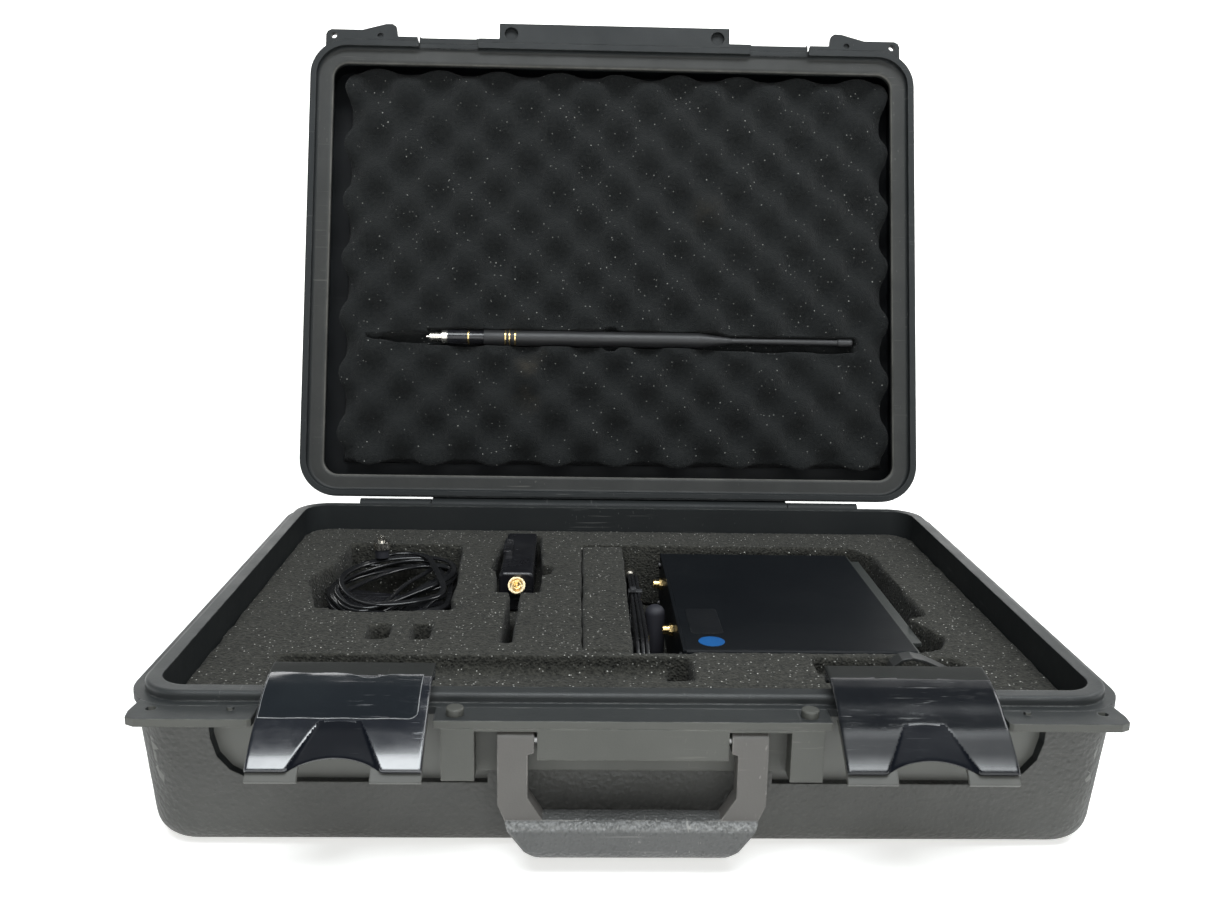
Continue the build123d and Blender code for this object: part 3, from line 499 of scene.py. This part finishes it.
def spline_points(name, pts):
    """The points of a smooth NURBS line through the route, in metres."""
    cu = bpy.data.curves.new(name, "CURVE")
    cu.dimensions = "3D"
    cu.resolution_u = 8
    sp = cu.splines.new("NURBS")
    sp.points.add(len(pts) - 1)
    for p, q in zip(sp.points, pts):
        p.co = (q[0] * 0.001, q[1] * 0.001, q[2] * 0.001, 1.0)
    sp.order_u = 3
    sp.use_endpoint_u = True
    o = bpy.data.objects.new(name, cu)
    me = bpy.data.meshes.new_from_object(o)
    line = np.array([v.co for v in me.vertices], float)
    bpy.data.meshes.remove(me)
    bpy.data.objects.remove(o)
    bpy.data.curves.remove(cu)
    keep = [0]
    for i in range(1, len(line)):
        if np.linalg.norm(line[i] - line[keep[-1]]) > 1e-5:
            keep.append(i)
    return line[keep]


def sweep(name, line, section, tilt, mats):
    """A closed tube whose section (a, b) lies across the line; a is the sideways axis."""
    n, k = len(line), len(section)
    verts, faces = [], []
    for i in range(n):
        t = line[min(i + 1, n - 1)] - line[max(i - 1, 0)]
        t = t / np.linalg.norm(t)
        side = np.cross(t, (0.0, 0.0, 1.0))
        if np.linalg.norm(side) < 0.25:
            side = side + np.array((0.35, 0.0, 0.0))
            side = side - t * side.dot(t)
        side = side / np.linalg.norm(side)
        up = np.cross(side, t)
        c, s = math.cos(tilt(i / (n - 1))), math.sin(tilt(i / (n - 1)))
        for a, b in section:
            verts.append(line[i] + (a * c - b * s) * side + (a * s + b * c) * up)
    for i in range(n - 1):
        for j in range(k):
            q = (j + 1) % k
            faces.append((i * k + j, i * k + q, (i + 1) * k + q, (i + 1) * k + j))
    faces.append(tuple(range(k))[::-1])
    faces.append(tuple((n - 1) * k + j for j in range(k)))
    return obj_from(name, verts, faces, mats)


# ------------------------------------------------------------------ cords
# Charger lead: a flat two-core flex wound by hand into a loose flat hank in its pocket.
FLEX_W, FLEX_R = 0.0042, 0.00105
section = []
for a0, sgn in ((0.00105, 1), (-0.00105, -1)):
    for q in range(9):
        t = math.radians(-112 + 224 * q / 8)
        section.append((a0 + sgn * FLEX_R * math.cos(t), sgn * FLEX_R * math.sin(t)))
flex_turns = [
    # each line is one pass round the pocket, wound by hand and skewed towards the back right
    [(-119, 52), (-113.5, 72), (-113.5, 96), (-119, 114), (-135, 119), (-150, 120), (-164, 121), (-180, 122.5), (-191.5, 118), (-196.5, 103), (-197, 82), (-198.5, 62), (-196, 41), (-186, 20), (-170, 8), (-152, 9), (-136, 17), (-121, 22), (-114.5, 31)],
    [(-114.5, 44), (-115, 58), (-117.5, 82), (-127, 105), (-138, 117), (-150, 122), (-164, 119), (-179, 103), (-193, 86), (-199, 68), (-197.5, 48), (-187, 28), (-176.5, 13), (-164, 9.5), (-153.5, 20), (-149, 36), (-133, 70)],
    [(-121, 90), (-118, 104), (-125, 115), (-137, 118), (-150, 110), (-161, 103), (-173, 94), (-186, 80), (-194, 64), (-195.5, 46), (-187, 26), (-174.5, 6), (-160.5, 5), (-150.5, 18), (-142, 40), (-120, 63)],
    [(-114.5, 76), (-114, 92), (-119.5, 104), (-130, 109), (-143, 108), (-160, 94), (-174, 71), (-185, 48), (-187, 29), (-178.5, 12), (-167, 6), (-156, 12.5), (-152.5, 31), (-147, 60), (-133, 92.5)],
    [(-131, 108), (-139, 116), (-152, 113), (-166, 103), (-179, 88), (-190, 67), (-192, 45), (-183.5, 24.5), (-172, 8.5), (-158.5, 7.5), (-149, 21.5), (-139, 36), (-123, 58)],
    [(-114.5, 78), (-116, 98), (-124, 112), (-139, 118), (-154, 117), (-171, 109), (-185, 94), (-192, 74), (-190, 52), (-180, 28), (-165, 11), (-147, 10), (-129, 18), (-117.5, 30)],
]
flex_route = [(-131.0, 32.0, 47.2), (-129.6, 34.8, 49.4), (-125.2, 44.0, 51.4)]
for k, turn in enumerate(flex_turns):
    for q, (x, y) in enumerate(turn):
        flex_route.append((x, y, 50.8 + 1.68 * k + 1.68 * q / len(turn) + 0.25 * math.sin(q * 1.9 + k)))
flex_route += [(-117.5, 44.0, 61.6), (-124.0, 68.0, 62.0), (-130.0, 90.0, 62.0), (-136.0, 110.0, 61.8), (-143.5, 119.0, 61.4), (-152.0, 122.3, 61.1), (-162.2, 120.8, 61.0),
               (-170.0, 113.0, 60.9), (-170.0, 108.0, 63.2)]
flex_line = spline_points("flex_line", flex_route)
flex = sweep("charger_flex", flex_line, section, lambda u: 0.35 * math.sin(u * 61) + 0.25 * math.sin(u * 23 + 1), ("cord",))
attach(flex, "charger")
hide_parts("power_cord_coil")

# Test lead: thin round coax folded into an upright oval hank beside the analyzer.
LEAD_D = 2.6
lead_route = [(25.2, 12.0, 29.0), (21.4, 12.0, 29.0), (16.4, 17.2, 28.0), (16.2, 27.0, 24.6)]
y0, y1, z0, z1, rr = -70.2, 104.0, 20.9, 58.9, 18.5


def race(u, inset):
    """Point at share u round the upright oval, starting at the bottom front and going back."""
    a, b, c, d = y0 + inset, y1 - inset, z0 + inset, z1 - inset
    r = (d - c) / 2
    straight = (b - a) - 2 * r
    per = 2 * straight + 2 * math.pi * r
    s = (u % 1.0) * per
    if s < straight:
        return a + r + s, c
    s -= straight
    if s < math.pi * r:
        t = s / r
        return b - r + r * math.sin(t), c + r - r * math.cos(t)
    s -= math.pi * r
    if s < straight:
        return b - r - s, d
    s -= straight
    t = s / r
    return a + r - r * math.sin(t), c + r + r * math.cos(t)


LT, LP = 7, 18
for i in range(LT * LP + 1):
    k = i / LP
    u = 0.24 + i / LP
    row = int(k) % 3 if k < 6.99 else 1
    col = int(k) // 3
    inset = (0.0, 2.9, 5.8)[row] + 0.5 * math.sin(i * 0.83)
    y, z = race(u, inset)
    x = 16.2 - 2.75 * (col + (k - int(k)) * (1 if row == 2 else 0)) + 0.35 * math.sin(i * 0.61 + 1)
    lead_route.append((x, y, z))
lead_route += [(11.2, 60.0, 40.0), (12.2, 84.0, 45.0), (13.1, 98.0, 47.6), (13.3, 106.0, 48.0), (13.3, 108.0, 48.0)]
lead_cu = bpy.data.curves.new("test_lead_cable", "CURVE")
lead_cu.dimensions = "3D"
lead_cu.resolution_u = 6
lead_cu.bevel_depth = LEAD_D / 2000
lead_cu.bevel_resolution = 3
lead_cu.use_fill_caps = True
sp = lead_cu.splines.new("NURBS")
sp.points.add(len(lead_route) - 1)
for p, q in zip(sp.points, lead_route):
    p.co = (q[0] * 0.001, q[1] * 0.001, q[2] * 0.001, 1.0)
sp.order_u = 3
sp.use_endpoint_u = True
lead = bpy.data.objects.new("test_lead_cable", lead_cu)
SCENE.collection.objects.link(lead)
lead_cu.materials.append(M["lead"])
lead_line = spline_points("lead_line", lead_route)
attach(lead, "test_lead")
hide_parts("lead_coil")

# ------------------------------------------------------------------ stage and light
floor_m = Mat("floor_pale")
floor_m.color(floor_m.mix(floor_m.noise(3.0, 3, 0.5), (0.80, 0.80, 0.79), (0.84, 0.84, 0.83)))
floor_m.set(Roughness=0.85, Specular_IOR_Level=0.1, Emission_Color=(1.0, 0.992, 0.97), Emission_Strength=0.62)
fv, ff = [], []
prof = [(-3.2, 0.0), (1.6, 0.0), (2.0, 0.02), (2.35, 0.12), (2.6, 0.34), (2.7, 0.7), (2.72, 1.3)]
for yq, zq in prof:
    fv += [(-4.5, yq, zq), (4.5, yq, zq)]
for i in range(len(prof) - 1):
    ff.append((2 * i, 2 * i + 1, 2 * i + 3, 2 * i + 2))
floor = obj_from("floor", fv, ff, ())
floor.data.materials.append(floor_m.m)


def area(name, loc, target, size, power, color=(1, 1, 1), size_y=None):
    ld = bpy.data.lights.new(name, "AREA")
    ld.shape = "RECTANGLE" if size_y else "SQUARE"
    ld.size = size
    if size_y:
        ld.size_y = size_y
    ld.energy = power
    ld.color = color
    lo = bpy.data.objects.new(name, ld)
    SCENE.collection.objects.link(lo)
    lo.location = loc
    d = Vector(target) - Vector(loc)
    lo.rotation_mode = "QUATERNION"
    lo.rotation_quaternion = d.to_track_quat("-Z", "Y")
    return lo


area("overhead", (0.06, -0.82, 1.9), (0.0, -0.62, 0.0), 2.0, 54, (0.93, 0.975, 1.0), 0.74)
area("front_fill", (0.35, -2.6, 1.0), (0.0, 0.0, 0.2), 1.7, 22, (0.97, 0.99, 1.0))
area("side", (1.5, 0.42, 1.35), (0.0, 0.0, 0.05), 0.7, 13, (0.97, 0.99, 1.0))
area("back_wash", (0.0, 1.7, 1.9), (0.0, 2.5, 0.3), 3.4, 34, (1, 1, 1), 0.8)

world = bpy.data.worlds.new("world")
SCENE.world = world
world.use_nodes = True
wt = world.node_tree
wt.nodes.clear()
wo = wt.nodes.new("ShaderNodeOutputWorld")
bg = wt.nodes.new("ShaderNodeBackground")
wt.links.new(bg.outputs[0], wo.inputs[0])
tc = wt.nodes.new("ShaderNodeTexCoord")
sx = wt.nodes.new("ShaderNodeSeparateXYZ")
wt.links.new(tc.outputs["Generated"], sx.inputs[0])
rp = wt.nodes.new("ShaderNodeValToRGB")
el = rp.color_ramp.elements
for _ in range(4):
    el.new(0.5)
for e, (p, c) in zip(el, [(0.0, 1.0), (0.07, 1.0), (0.16, 0.30), (0.45, 0.17), (0.8, 0.14), (1.0, 0.12)]):
    e.position, e.color = p, (c if c == 1.0 else c * 0.88, c if c == 1.0 else c * 0.97, c, 1)
wt.links.new(sx.outputs[2], rp.inputs["Fac"])
wt.links.new(rp.outputs["Color"], bg.inputs["Color"])
bg.inputs["Strength"].default_value = 1.0
SCENE.view_settings.view_transform = "Standard"

# ------------------------------------------------------------------ lid foam
HY, HZ, LID = 191.4, 80.0, math.radians(106.0)
CL, SL = math.cos(-LID), math.sin(-LID)


def lid_pt(x, v, w):
    """Point on the open lid, millimetres: x across, v from the hinge axis, w in from the rim plane."""
    dy, dz = -v, w
    return (x * 0.001, (HY + dy * CL - dz * SL) * 0.001, (HZ + dy * SL + dz * CL) * 0.001)


SLOT_V = HY - 50.9
PX_, PV_ = 50.5, 48.2


def smooth(t):
    t = min(1.0, max(0.0, t))
    return t * t * (3 - 2 * t)


def slot_edges(x):
    """Half openings of the antenna slit below and above its centre line, mm; None past its ends."""
    if x < -203 or x > 206.5:
        return None
    if x < -152:
        t = (x + 203) / 51
        return 0.8 + 5.0 * t ** 0.7, 0.6 + 3.2 * t
    if x < -104:
        return 7.0, 7.0
    if x < 84:
        return 6.5, 6.5
    t = smooth((x - 84) / 16)
    e = smooth((206.5 - x) / 3.0)
    return (6.5 + (1.4) * t) * e + 0.4, (6.5 - 3.2 * t) * e + 0.4


def lid_height(x, v):
    """w of the foam's face."""
    wob = 1.6 * noise.noise(Vector((x * 0.018, v * 0.018, 3.1)))
    xx, vv = x + 1.3 * noise.noise(Vector((x * 0.03, v * 0.03, 9.0))), v + 1.3 * noise.noise(Vector((x * 0.03, v * 0.03, 5.0)))
    h = math.cos(2 * math.pi * (xx - 5.0) / PX_) * math.cos(2 * math.pi * (vv - 36.0) / PV_)
    h = math.copysign(abs(h) ** 0.86, h)
    w = 13.4 + 5.9 * (1.0 - h) + wob * 0.7 + 0.28 * noise.noise(Vector((x * 0.35, v * 0.35, 0.5)))
    return max(w, 13.0)


def make_lid_foam():
    x_lo, x_hi, v_lo, v_hi, back = -220.8, 228.8, 36.4, 364.8, 43.4
    xs = list(np.linspace(x_lo, x_hi, 254))
    vs = sorted(set([round(float(q), 3) for q in np.linspace(v_lo, v_hi, 184)] + [round(SLOT_V + q, 3) for q in (-9, -8.3, -7.6, -7, -6.4, -5.6, -4.6, -3.4, -2, 0, 2, 3.4, 4.6, 5.6,
                                                                                                                  6.4, 7, 7.6, 8.3, 9)]))
    vs = [q for q in vs if abs(q - SLOT_V) > 9.1 or round(q - SLOT_V, 3) in {-9, -8.3, -7.6, -7, -6.4, -5.6, -4.6, -3.4, -2, 0, 2, 3.4, 4.6, 5.6, 6.4, 7, 7.6, 8.3, 9} or
          abs(q - SLOT_V) in (9, 8.3)]
    nx, nv = len(xs), len(vs)
    verts, faces = [], []
    for j, v in enumerate(vs):
        for i, x in enumerate(xs):
            w = lid_height(x, v)
            # press down beside the antenna, and open the slit
            d = v - SLOT_V
            px, pv = x, v
            ed = slot_edges(x)
            if ed is not None:
                lo_, hi_ = ed
                edge = lo_ if d < 0 else hi_
                a = abs(d)
                if a < 26:
                    w = max(w, 17.0 + 2.4 * noise.noise(Vector((x * 0.05, 0.0, 2.0))) - (a - edge) * 0.32) if a > edge else w
                if a <= 9.0:
                    # rows are squeezed so that the slit's wall is steep and follows the edge
                    wall = smooth((edge + 0.7 - a) / 1.2)
                    w = w + (31.0 - w) * wall
            r = math.hypot(x, d)
            if r < 10.5:
                w = w + (37.0 - w) * smooth((10.4 - r) / 1.6)
            # scalloped, slightly bulging cut edges
            ex = min(x - x_lo, x_hi - x) / 15.0
            ev = min(v - v_lo, v_hi - v) / 15.0
            hh = max(-1.0, (19.3 - w) / 5.9)
            hh = hh + 0.35 * (hh * hh - 0.5)
            if ex < 1:
                px += (1 if x > 0 else -1) * (1 - ex) ** 2 * (2.7 * hh + 0.5 * noise.noise(Vector((0, v * 0.09, 1))))
            if ev < 1:
                pv += (1 if v > 200 else -1) * (1 - ev) ** 2 * (2.7 * hh + 0.5 * noise.noise(Vector((x * 0.09, 0, 1))))
            if min(ex, ev) < 0.28:
                w += (0.28 - min(ex, ev)) * 4.0
            verts.append(lid_pt(px, pv, w))
    for j in range(nv - 1):
        for i in range(nx - 1):
            a = j * nx + i
            faces.append((a, a + 1, a + nx + 1, a + nx))
    rim = [i for i in range(nx)] + [j * nx + nx - 1 for j in range(1, nv)] + [(nv - 1) * nx + i for i in range(nx - 2, -1, -1)] + [j * nx for j in range(nv - 2, 0, -1)]
    start = len(verts)
    for k, r_ in enumerate(rim):
        j, i = divmod(r_, nx)
        x, v = xs[i], vs[j]
        q = 0.7 * noise.noise(Vector((x * 0.12, v * 0.12, 4)))
        verts.append(lid_pt(x + (0.4 + q if i == nx - 1 else (-0.4 - q if i == 0 else 0)), v + (0.4 + q if j == nv - 1 else (-0.4 - q if j == 0 else 0)), 34 + 4 * q))
    mid = len(verts)
    for r_ in rim:
        j, i = divmod(r_, nx)
        verts.append(lid_pt(xs[i], vs[j], back))
    L = len(rim)
    for k in range(L):
        q = (k + 1) % L
        faces.append((rim[q], rim[k], start + k, start + q))
        faces.append((start + q, start + k, mid + k, mid + q))
    faces.append(tuple(mid + k for k in range(L)))
    front = (nv - 1) * (nx - 1)
    o = obj_from("lid_foam_sheet", verts, faces, ("lid_foam", "foam_side_painted_shade"))
    # the cut sides take the near-black painted-shade foam
    for p in o.data.polygons:
        if p.index >= front:
            p.material_index = 1
    bm = bmesh.new()
    bm.from_mesh(o.data)
    bmesh.ops.recalc_face_normals(bm, faces=bm.faces)
    bm.to_mesh(o.data)
    bm.free()
    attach(o, "lid")
    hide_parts("lid_foam")
    return o


make_lid_foam()


# ------------------------------------------------------------------ base foam
def rough_foam(name, node, body, voxel=0.0022, wander=0.9, grit=0.32, seed=0.0):
    """A cut block of open-cell foam: the CAD solid's volume with wandering, torn-looking cut edges."""
    me = NODES[node].data.copy()
    o = bpy.data.objects.new(name, me)
    SCENE.collection.objects.link(o)
    md = o.modifiers.new("r", "REMESH")
    md.mode = "VOXEL"
    md.voxel_size = voxel
    apply_mods(o)
    me = o.data
    co = np.zeros(len(me.vertices) * 3, np.float32)
    me.vertices.foreach_get("co", co)
    co = co.reshape(-1, 3)
    no = np.zeros(len(me.vertices) * 3, np.float32)
    me.vertices.foreach_get("normal", no)
    no = no.reshape(-1, 3)
    out = co.copy()
    for i in range(len(co)):
        p = Vector(co[i]) * 1000.0
        a = noise.noise(p * 0.06 + Vector((seed, 0, 0))) * wander
        b = noise.noise(p * 0.06 + Vector((0, seed + 31.7, 0))) * wander
        g = (noise.noise(p * 0.42 + Vector((seed, 5, 0))) * 0.9 + noise.noise(p * 1.1 + Vector((2, seed, 0))) * 0.6) * grit
        out[i, 0] += (a + no[i, 0] * g) * 0.001
        out[i, 1] += (b + no[i, 1] * g) * 0.001
        out[i, 2] += (no[i, 2] * g) * 0.001
    me.vertices.foreach_set("co", out.ravel())
    me.update()
    me.materials.clear()
    me.materials.append(M["base_foam"])
    for p in me.polygons:
        p.use_smooth = True
        p.material_index = 0
    for k in list(o.keys()):
        if k.startswith("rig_"):
            del o[k]
    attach(o, body)
    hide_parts(node)
    return o


rough_foam("base_foam_block", "base_foam", "base", seed=1.0)
rough_foam("foam_divider_block", "foam_divider", "base", seed=7.0, wander=0.7)
rough_foam("base_foam_floor", "base_foam_pad", "base", voxel=0.004, seed=3.0, wander=0.3)


# ------------------------------------------------------------------ latch levers
PROFILE = [(-231.5, 66.5), (-226.5, 70.8), (-222.0, 74.1), (-214.0, 79.4), (-206.0, 83.6), (-199.0, 87.8), (-192.0, 90.8), (-183.0, 93.0), (-175.0, 94.2), (-170.0, 94.5)]


def profile_table(n=200):
    pts = np.array(PROFILE, float)
    seg = np.linalg.norm(np.diff(pts, axis=0), axis=1)
    s = np.concatenate([[0], np.cumsum(seg)])
    u = np.linspace(0, s[-1], n)
    y, z = np.interp(u, s, pts[:, 0]), np.interp(u, s, pts[:, 1])
    k = np.hanning(25)
    k /= k.sum()
    ye = np.concatenate([y[0] - (y[1] - y[0]) * np.arange(12, 0, -1), y, y[-1] + (y[-1] - y[-2]) * np.arange(1, 13)])
    ze = np.concatenate([z[0] - (z[1] - z[0]) * np.arange(12, 0, -1), z, z[-1] + (z[-1] - z[-2]) * np.arange(1, 13)])
    return u, np.convolve(ye, k, "valid"), np.convolve(ze, k, "valid"), s[-1]


PU, PYT, PZT, PLEN = profile_table()


def on_profile(u, depth):
    y, z = np.interp(u, PU, PYT), np.interp(u, PU, PZT)
    y2, z2 = np.interp(u + 0.6, PU, PYT), np.interp(u + 0.6, PU, PZT)
    y1_, z1_ = np.interp(u - 0.6, PU, PYT), np.interp(u - 0.6, PU, PZT)
    ty, tz = y2 - y1_, z2 - z1_
    n = math.hypot(ty, tz)
    if u < 0:
        y, z = y + ty / n * u, z + tz / n * u
    return y + depth * tz / n, z - depth * ty / n


def make_lever(name, node, body, cx_, mats, film_node=None):
    x0_, x1_ = cx_ - 40.2, cx_ + 40.2
    nu, nx = 64, 96
    top_s = 26.0

    def bottom(x):
        """How far up the profile the finger arc cuts, mm."""
        d = abs(x - cx_)
        r = 37.0
        chord = 22.0
        if d >= chord:
            return 0.0
        return (math.sqrt(r * r - d * d) - math.sqrt(r * r - chord * chord))

    def scoop(x, u):
        """Depth of the V-shaped facet above the finger arc."""
        d = x - cx_
        if u > top_s:
            return 0.0
        half = 9.8 + (21.8 - 9.8) * (top_s - u) / top_s
        side = (half - abs(d))
        if side <= 0:
            return 0.0
        return min(side / 0.8, 1.0) * 2.1 * ((top_s - u) / top_s) ** 0.75

    verts, faces = [], []
    grid = {}
    for layer in (0, 1):
        for j in range(nu + 1):
            for i in range(nx + 1):
                x = x0_ + (x1_ - x0_) * i / nx
                b = bottom(x)
                t = j / nu
                u = b + (PLEN - b) * t
                dd = scoop(x, u)
                # rounded rim: the face falls away close to its outline
                e = min(x - x0_, x1_ - x, (u - b) * 2.0 + 0.12, PLEN - u)
                r = 0.55
                fall = r - math.sqrt(max(0.0, r * r - (r - e) ** 2)) if e < r else 0.0
                thick = 2.3 if dd <= 0 else 2.3
                if layer == 0:
                    depth = 0.0 + dd + fall
                else:
                    depth = thick + dd * 0.55 - fall * 0.6
                y, z = on_profile(u, depth)
                grid[(layer, j, i)] = len(verts)
                verts.append((x * 0.001, y * 0.001, z * 0.001))
    for j in range(nu):
        for i in range(nx):
            a, b_, c_, d_ = (grid[(0, j, i)], grid[(0, j, i + 1)], grid[(0, j + 1, i + 1)], grid[(0, j + 1, i)])
            faces.append((a, b_, c_, d_))
            a, b_, c_, d_ = (grid[(1, j, i)], grid[(1, j, i + 1)], grid[(1, j + 1, i + 1)], grid[(1, j + 1, i)])
            faces.append((d_, c_, b_, a))
    for i in range(nx):
        faces.append((grid[(0, 0, i + 1)], grid[(0, 0, i)], grid[(1, 0, i)], grid[(1, 0, i + 1)]))
        faces.append((grid[(0, nu, i)], grid[(0, nu, i + 1)], grid[(1, nu, i + 1)], grid[(1, nu, i)]))
    for j in range(nu):
        faces.append((grid[(0, j, 0)], grid[(0, j + 1, 0)], grid[(1, j + 1, 0)], grid[(1, j, 0)]))
        faces.append((grid[(0, j + 1, nx)], grid[(0, j, nx)], grid[(1, j, nx)], grid[(1, j + 1, nx)]))
    o = obj_from(name, verts, faces, mats)
    for q, p in enumerate(o.data.polygons):
        if q < 2 * nu * nx and q % 2 == 0:
            j, i = divmod(q // 2, nx)
            x = x0_ + (x1_ - x0_) * (i + 0.5) / nx
            b = bottom(x)
            u = b + (PLEN - b) * (j + 0.5) / nu
            # scoop faces take the darker, non-reflecting painted-shade plastic
            if scoop(x, u) > 0.02 and u < top_s - 0.5:
                p.material_index = 1
            elif u > 56.5 - 0.02 * (x - x0_):
                p.material_index = 2
    # hinge knuckles under the top edge
    bm = bmesh.new()
    bm.from_mesh(o.data)
    by_, bz_ = -174.5, 89.3
    for a_, b_ in ((x0_, x0_ + 9.0), (x1_ - 9.0, x1_)):
        ring = []
        for xx in (a_, a_ + 0.4, b_ - 0.4, b_):
            rr_ = 2.6 if xx not in (a_, b_) else 2.25
            ring.append([bm.verts.new((xx * 0.001, (by_ + rr_ * math.cos(t)) * 0.001, (bz_ + rr_ * math.sin(t)) * 0.001)) for t in
                         [2 * math.pi * q / 28 for q in range(28)]])
        for r0, r1 in zip(ring, ring[1:]):
            for q in range(28):
                f = bm.faces.new((r0[q], r1[q], r1[(q + 1) % 28], r0[(q + 1) % 28]))
                f.smooth = True
        bm.faces.new(ring[0])
        bm.faces.new(ring[-1][::-1])
    bmesh.ops.recalc_face_normals(bm, faces=bm.faces)
    bm.to_mesh(o.data)
    bm.free()
    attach(o, body)
    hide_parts(node)
    return o


make_lever("left_lever_cover", "left_latch_lever", "left_lever", -138.1, ("latch", "latch_scoop_painted_shade", "latch_top"))
make_lever("right_lever_cover", "right_latch_lever", "right_lever", 138.1, ("latch_worn", "latch_scoop_painted_shade", "latch_top"))


def make_film():
    """Protective film still on the left lever: a thin sheet on the curved face, wavy along its top edge."""
    x0_, x1_ = -178.3 + 1.0, -97.9 - 4.4
    nx, nu = 90, 44

    def top(x):
        t = (x - x0_) / (x1_ - x0_)
        return 57.2 - 3.6 * math.exp(-((t - 0.66) / 0.10) ** 2) - 1.0 * t + 0.35 * math.sin(t * 19)

    def low(x):
        r, d = 4.5, x1_ - x
        return 27.0 + (r - math.sqrt(max(0.0, r * r - (r - d) ** 2)) if d < r else 0.0) + 0.15 * math.sin(x * 0.31)

    verts, faces, mat = [], [], []
    cols = [x0_, x0_ + 0.35] + [x0_ + (x1_ - x0_) * i / nx for i in range(1, nx)] + [x1_ - 0.35, x1_]
    n = len(cols)
    for layer in (-0.24, -0.03):
        for j in range(nu + 1):
            for x in cols:
                a, b = low(x), top(x)
                t = [0.0, 0.011][j] if j < 2 else (1.0, 0.989)[nu - j] if nu - j < 2 else j / nu
                u = a + (b - a) * t
                bub = 0.10 * max(0.0, noise.noise(Vector((x * 0.05, u * 0.11, 4.0)))) if layer < -0.1 else 0.0
                y, z = on_profile(u, layer - bub)
                verts.append((x * 0.001, y * 0.001, z * 0.001))
    m_ = n * (nu + 1)
    for j in range(nu):
        for i in range(n - 1):
            a = j * n + i
            faces.append((a, a + 1, a + n + 1, a + n))
            mat.append(1 if i in (0, n - 2) or j in (0, nu - 1) else 0)
            faces.append((m_ + a + n, m_ + a + n + 1, m_ + a + 1, m_ + a))
            mat.append(0)
    for i in range(n - 1):
        faces.append((i + 1, i, m_ + i, m_ + i + 1))
        q = nu * n + i
        faces.append((q, q + 1, m_ + q + 1, m_ + q))
        mat += [1, 1]
    for j in range(nu):
        a, b = j * n, j * n + n - 1
        faces.append((a, a + n, m_ + a + n, m_ + a))
        faces.append((b + n, b, m_ + b, m_ + b + n))
        mat += [1, 1]
    o = obj_from("left_lever_film_sheet", verts, faces, ("film", "film_edge"))
    for p, k in zip(o.data.polygons, mat):
        p.material_index = k
    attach(o, "left_lever")
    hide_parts("left_lever_film")


make_film()
